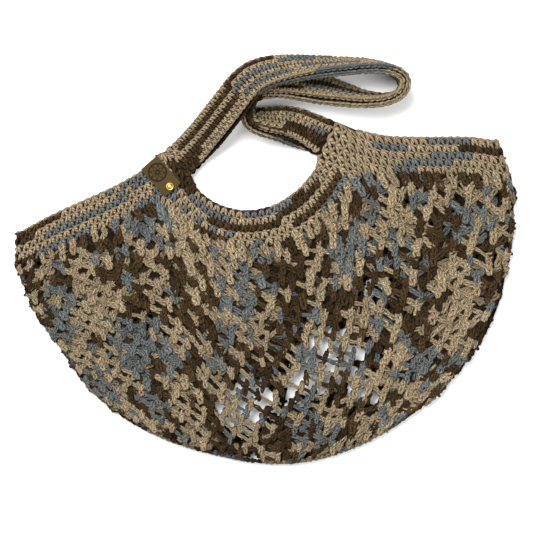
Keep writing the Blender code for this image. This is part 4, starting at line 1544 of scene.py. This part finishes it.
def build_tag(settings):
    """The leather tag: a strip folded over the rim, crowned, stamped and rounded at its corners."""
    columns, corner, crown, stamp_depth = 39, 2.4 * MM, 0.3 * MM, 0.22 * MM
    place, inward, sideways = tag_frame()
    profile = tag_profile()
    verts, faces, depths = [], [], []
    for across, height in profile:
        past = max(across - (TAG_LENGTH - corner), 0.0)
        width = TAG_WIDTH / 2 - corner + math.sqrt(max(corner**2 - past**2, 0.0))
        for share in np.linspace(-1, 1, columns):
            depth = stamped(across, width * share) if height > 0 else 0.0
            rise = crown * (1 - share * share) * (1 if height > 0 else -1) - stamp_depth * depth
            plan = place + inward * across + sideways * width * share
            verts.append((*plan, FRONT_Z + height + rise))
            depths.append(depth)
    for i in range(len(profile) - 1):
        for a in range(i * columns, (i + 1) * columns - 1):
            faces.append((a, a + 1, a + columns + 1, a + columns))
    mesh = bpy.data.meshes.new("tag_leather")
    mesh.from_pydata(verts, [], faces)
    stamp = mesh.attributes.new("Stamp", "FLOAT", "POINT")
    stamp.data.foreach_set("value", depths)
    tag = new_object("tag_leather", mesh)
    make_active(tag)
    give_thickness(tag, TAG_THICKNESS)
    bpy.ops.object.shade_smooth_by_angle(angle=math.radians(40))
    finish_piece(tag, leather_material(settings), "leather", "leather_tag")


def build_rivet(settings):
    """The rivet's domed cap with its rolled rim."""
    cap_height = 0.9 * MM
    edge, inward, _ = tag_frame()
    place = edge + inward * RIVET_FROM_EDGE
    seat = FRONT_Z + CLOTH / 2 + TAG_CLEARANCE + TAG_THICKNESS + 0.5 * MM
    bpy.ops.object.select_all(action="DESELECT")
    bpy.ops.mesh.primitive_cylinder_add(
        vertices=40, radius=RIVET_RADIUS, depth=cap_height, location=(*place, seat + cap_height / 2)
    )
    rivet = bpy.context.active_object
    rivet.name = "rivet_cap"
    bpy.ops.object.transform_apply(location=True, rotation=True, scale=True)
    bpy.ops.object.mode_set(mode="EDIT")
    bpy.ops.mesh.select_all(action="DESELECT")
    bpy.ops.object.mode_set(mode="OBJECT")
    for face in rivet.data.polygons:
        face.select = face.normal.z > 0.9
    bpy.ops.object.mode_set(mode="EDIT")
    rim, groove = (0.55, 0.0), (0.22, -0.28)
    dome = ((0.3, 0.33), (0.55, 0.3), (0.6, 0.16), (0.5, 0.05))
    for width, rise in (rim, groove, *dome):
        bpy.ops.mesh.inset(thickness=width * MM, depth=rise * MM)
    bpy.ops.mesh.merge(type="CENTER")
    bpy.ops.object.mode_set(mode="OBJECT")
    ease = rivet.modifiers.new("Rolled rim", "BEVEL")
    ease.width = 0.2 * MM
    ease.segments = 2
    ease.limit_method = "ANGLE"
    ease.angle_limit = math.radians(50)
    bpy.ops.object.modifier_apply(modifier=ease.name)
    bpy.ops.object.shade_smooth_by_angle(angle=math.radians(50))
    finish_piece(rivet, brass_material(settings), "brass", "rivet")


def build_stage(settings):
    """The floor, the light all round, two soft lamps and a camera that looks straight down."""
    camera_height, view_width = 1.3, 0.45305
    bpy.ops.object.select_all(action="DESELECT")
    bpy.ops.mesh.primitive_plane_add(size=60.0, location=(0, 0, -0.0002))
    floor = bpy.context.active_object
    floor.name = "studio_floor"
    bpy.ops.object.transform_apply(location=True, rotation=True, scale=True)
    floor.data.materials.append(paper_material(settings))
    world = bpy.data.worlds.new("Studio")
    world.use_nodes = True
    sky = world.node_tree.nodes["Background"]
    sky.inputs["Color"].default_value = (1, 1, 1, 1)
    sky.inputs["Strength"].default_value = settings.fill
    bpy.context.scene.world = world
    bpy.context.scene.view_settings.view_transform = "Standard"
    for name, place, size, power in (
        ("Softbox", (-0.55, 0.75, 1.5), 1.1, settings.key),
        ("Bounce", (0.9, -0.5, 1.3), 1.4, settings.key * 0.35),
    ):
        bpy.ops.object.light_add(type="AREA", location=place)
        light = bpy.context.active_object
        light.name = name
        light.data.shape = "SQUARE"
        light.data.size = size
        light.data.energy = power
        light.rotation_euler = (-Vector(place)).to_track_quat("-Z", "Y").to_euler()
    bpy.ops.object.camera_add(location=(0.00071, -0.00532, camera_height), rotation=(0, 0, 0))
    camera = bpy.context.active_object
    camera.name = "Overhead camera"
    camera.data.sensor_width = 36.0
    camera.data.angle = 2 * math.atan(view_width / 2 / camera_height)
    camera.data.clip_start = 0.05
    bpy.context.scene.camera = camera


# ---------------------------------------------------------------------------------------------
# Add-on


def colour_setting(name, description, default):
    return bpy.props.FloatVectorProperty(
        name=name, description=description, default=default, size=3, subtype="COLOR", min=0, max=1
    )


class MeshBagSettings(bpy.types.PropertyGroup):
    """Sizes and colours of the bag's finishes."""

    yarn_radius: bpy.props.FloatProperty(
        name="Yarn radius", description="Half the thickness of the plied cotton", default=0.00115,
        min=0.0006, max=0.002, precision=4, subtype="DISTANCE", unit="LENGTH",
    )
    tan: colour_setting("Tan", "Main colour of the yarn", (0.288, 0.226, 0.143))
    brown: colour_setting("Brown", "Darkest colour of the yarn", (0.049, 0.0300, 0.0140))
    blue_grey: colour_setting("Blue-grey", "Cool colour of the yarn", (0.120, 0.129, 0.128))
    leather: colour_setting("Leather", "Colour of the tag", (0.050, 0.0305, 0.0070))
    brass: colour_setting("Brass", "Colour of the rivet", (0.52, 0.36, 0.095))
    floor: colour_setting("Floor", "Colour of the studio floor", (0.95, 0.95, 0.95))
    key: bpy.props.FloatProperty(
        name="Softbox", description="Power of the main light in watts", default=58.0, min=0,
        unit="POWER",
    )
    fill: bpy.props.FloatProperty(
        name="Fill", description="Strength of the light all round", default=0.3, min=0
    )


class MESHBAG_OT_stage(bpy.types.Operator):
    """Add the floor, the lights and the camera"""

    bl_idname = "meshbag.stage"
    bl_label = "Stage"

    def execute(self, context):
        build_stage(context.scene.mesh_bag)
        return {"FINISHED"}


class MESHBAG_OT_rim(bpy.types.Operator):
    """Work the rim band in single crochet"""

    bl_idname = "meshbag.rim"
    bl_label = "Rim band"

    def execute(self, context):
        build_rim(context.scene.mesh_bag)
        return {"FINISHED"}


class MESHBAG_OT_handles(bpy.types.Operator):
    """Work the two handles in single crochet"""

    bl_idname = "meshbag.handles"
    bl_label = "Handles"

    def execute(self, context):
        bag = context.scene.mesh_bag
        build_handle(bag, "handle_front", 1, FRONT_HANDLE_RUNS, FRONT_EDGE_RUNS, 17)
        build_handle(bag, "handle_back", -1, BACK_HANDLE_RUNS, BACK_EDGE_RUNS, 19)
        return {"FINISHED"}


class MESHBAG_OT_net(bpy.types.Operator):
    """Work the pouch in open net"""

    bl_idname = "meshbag.net"
    bl_label = "Net pouch"

    def execute(self, context):
        build_net(context.scene.mesh_bag)
        return {"FINISHED"}


class MESHBAG_OT_tag(bpy.types.Operator):
    """Fold the leather tag over the rim and rivet it"""

    bl_idname = "meshbag.tag"
    bl_label = "Tag and rivet"

    def execute(self, context):
        build_tag(context.scene.mesh_bag)
        build_rivet(context.scene.mesh_bag)
        return {"FINISHED"}


class MESHBAG_PT_panel(bpy.types.Panel):
    """Lists the bag's pieces"""

    bl_idname = "MESHBAG_PT_panel"
    bl_label = "Mesh bag"
    bl_space_type = "VIEW_3D"
    bl_region_type = "UI"
    bl_category = "Mesh bag"

    def draw(self, context):
        settings = context.scene.mesh_bag
        for name in MeshBagSettings.__annotations__:
            self.layout.prop(settings, name)
        for operator in OPERATORS:
            self.layout.operator(operator.bl_idname)


OPERATORS = (
    MESHBAG_OT_stage,
    MESHBAG_OT_rim,
    MESHBAG_OT_handles,
    MESHBAG_OT_net,
    MESHBAG_OT_tag,
)
CLASSES = (MeshBagSettings, *OPERATORS, MESHBAG_PT_panel)


def register():
    for cls in CLASSES:
        bpy.utils.register_class(cls)
    bpy.types.Scene.mesh_bag = bpy.props.PointerProperty(type=MeshBagSettings)


def unregister():
    del bpy.types.Scene.mesh_bag
    for cls in reversed(CLASSES):
        bpy.utils.unregister_class(cls)


def main():
    register()
    bpy.ops.meshbag.stage()
    bpy.ops.meshbag.rim()
    bpy.ops.meshbag.handles()
    bpy.ops.meshbag.net()
    bpy.ops.meshbag.tag()
    bpy.context.view_layer.update()


if __name__ == "__main__":
    main()
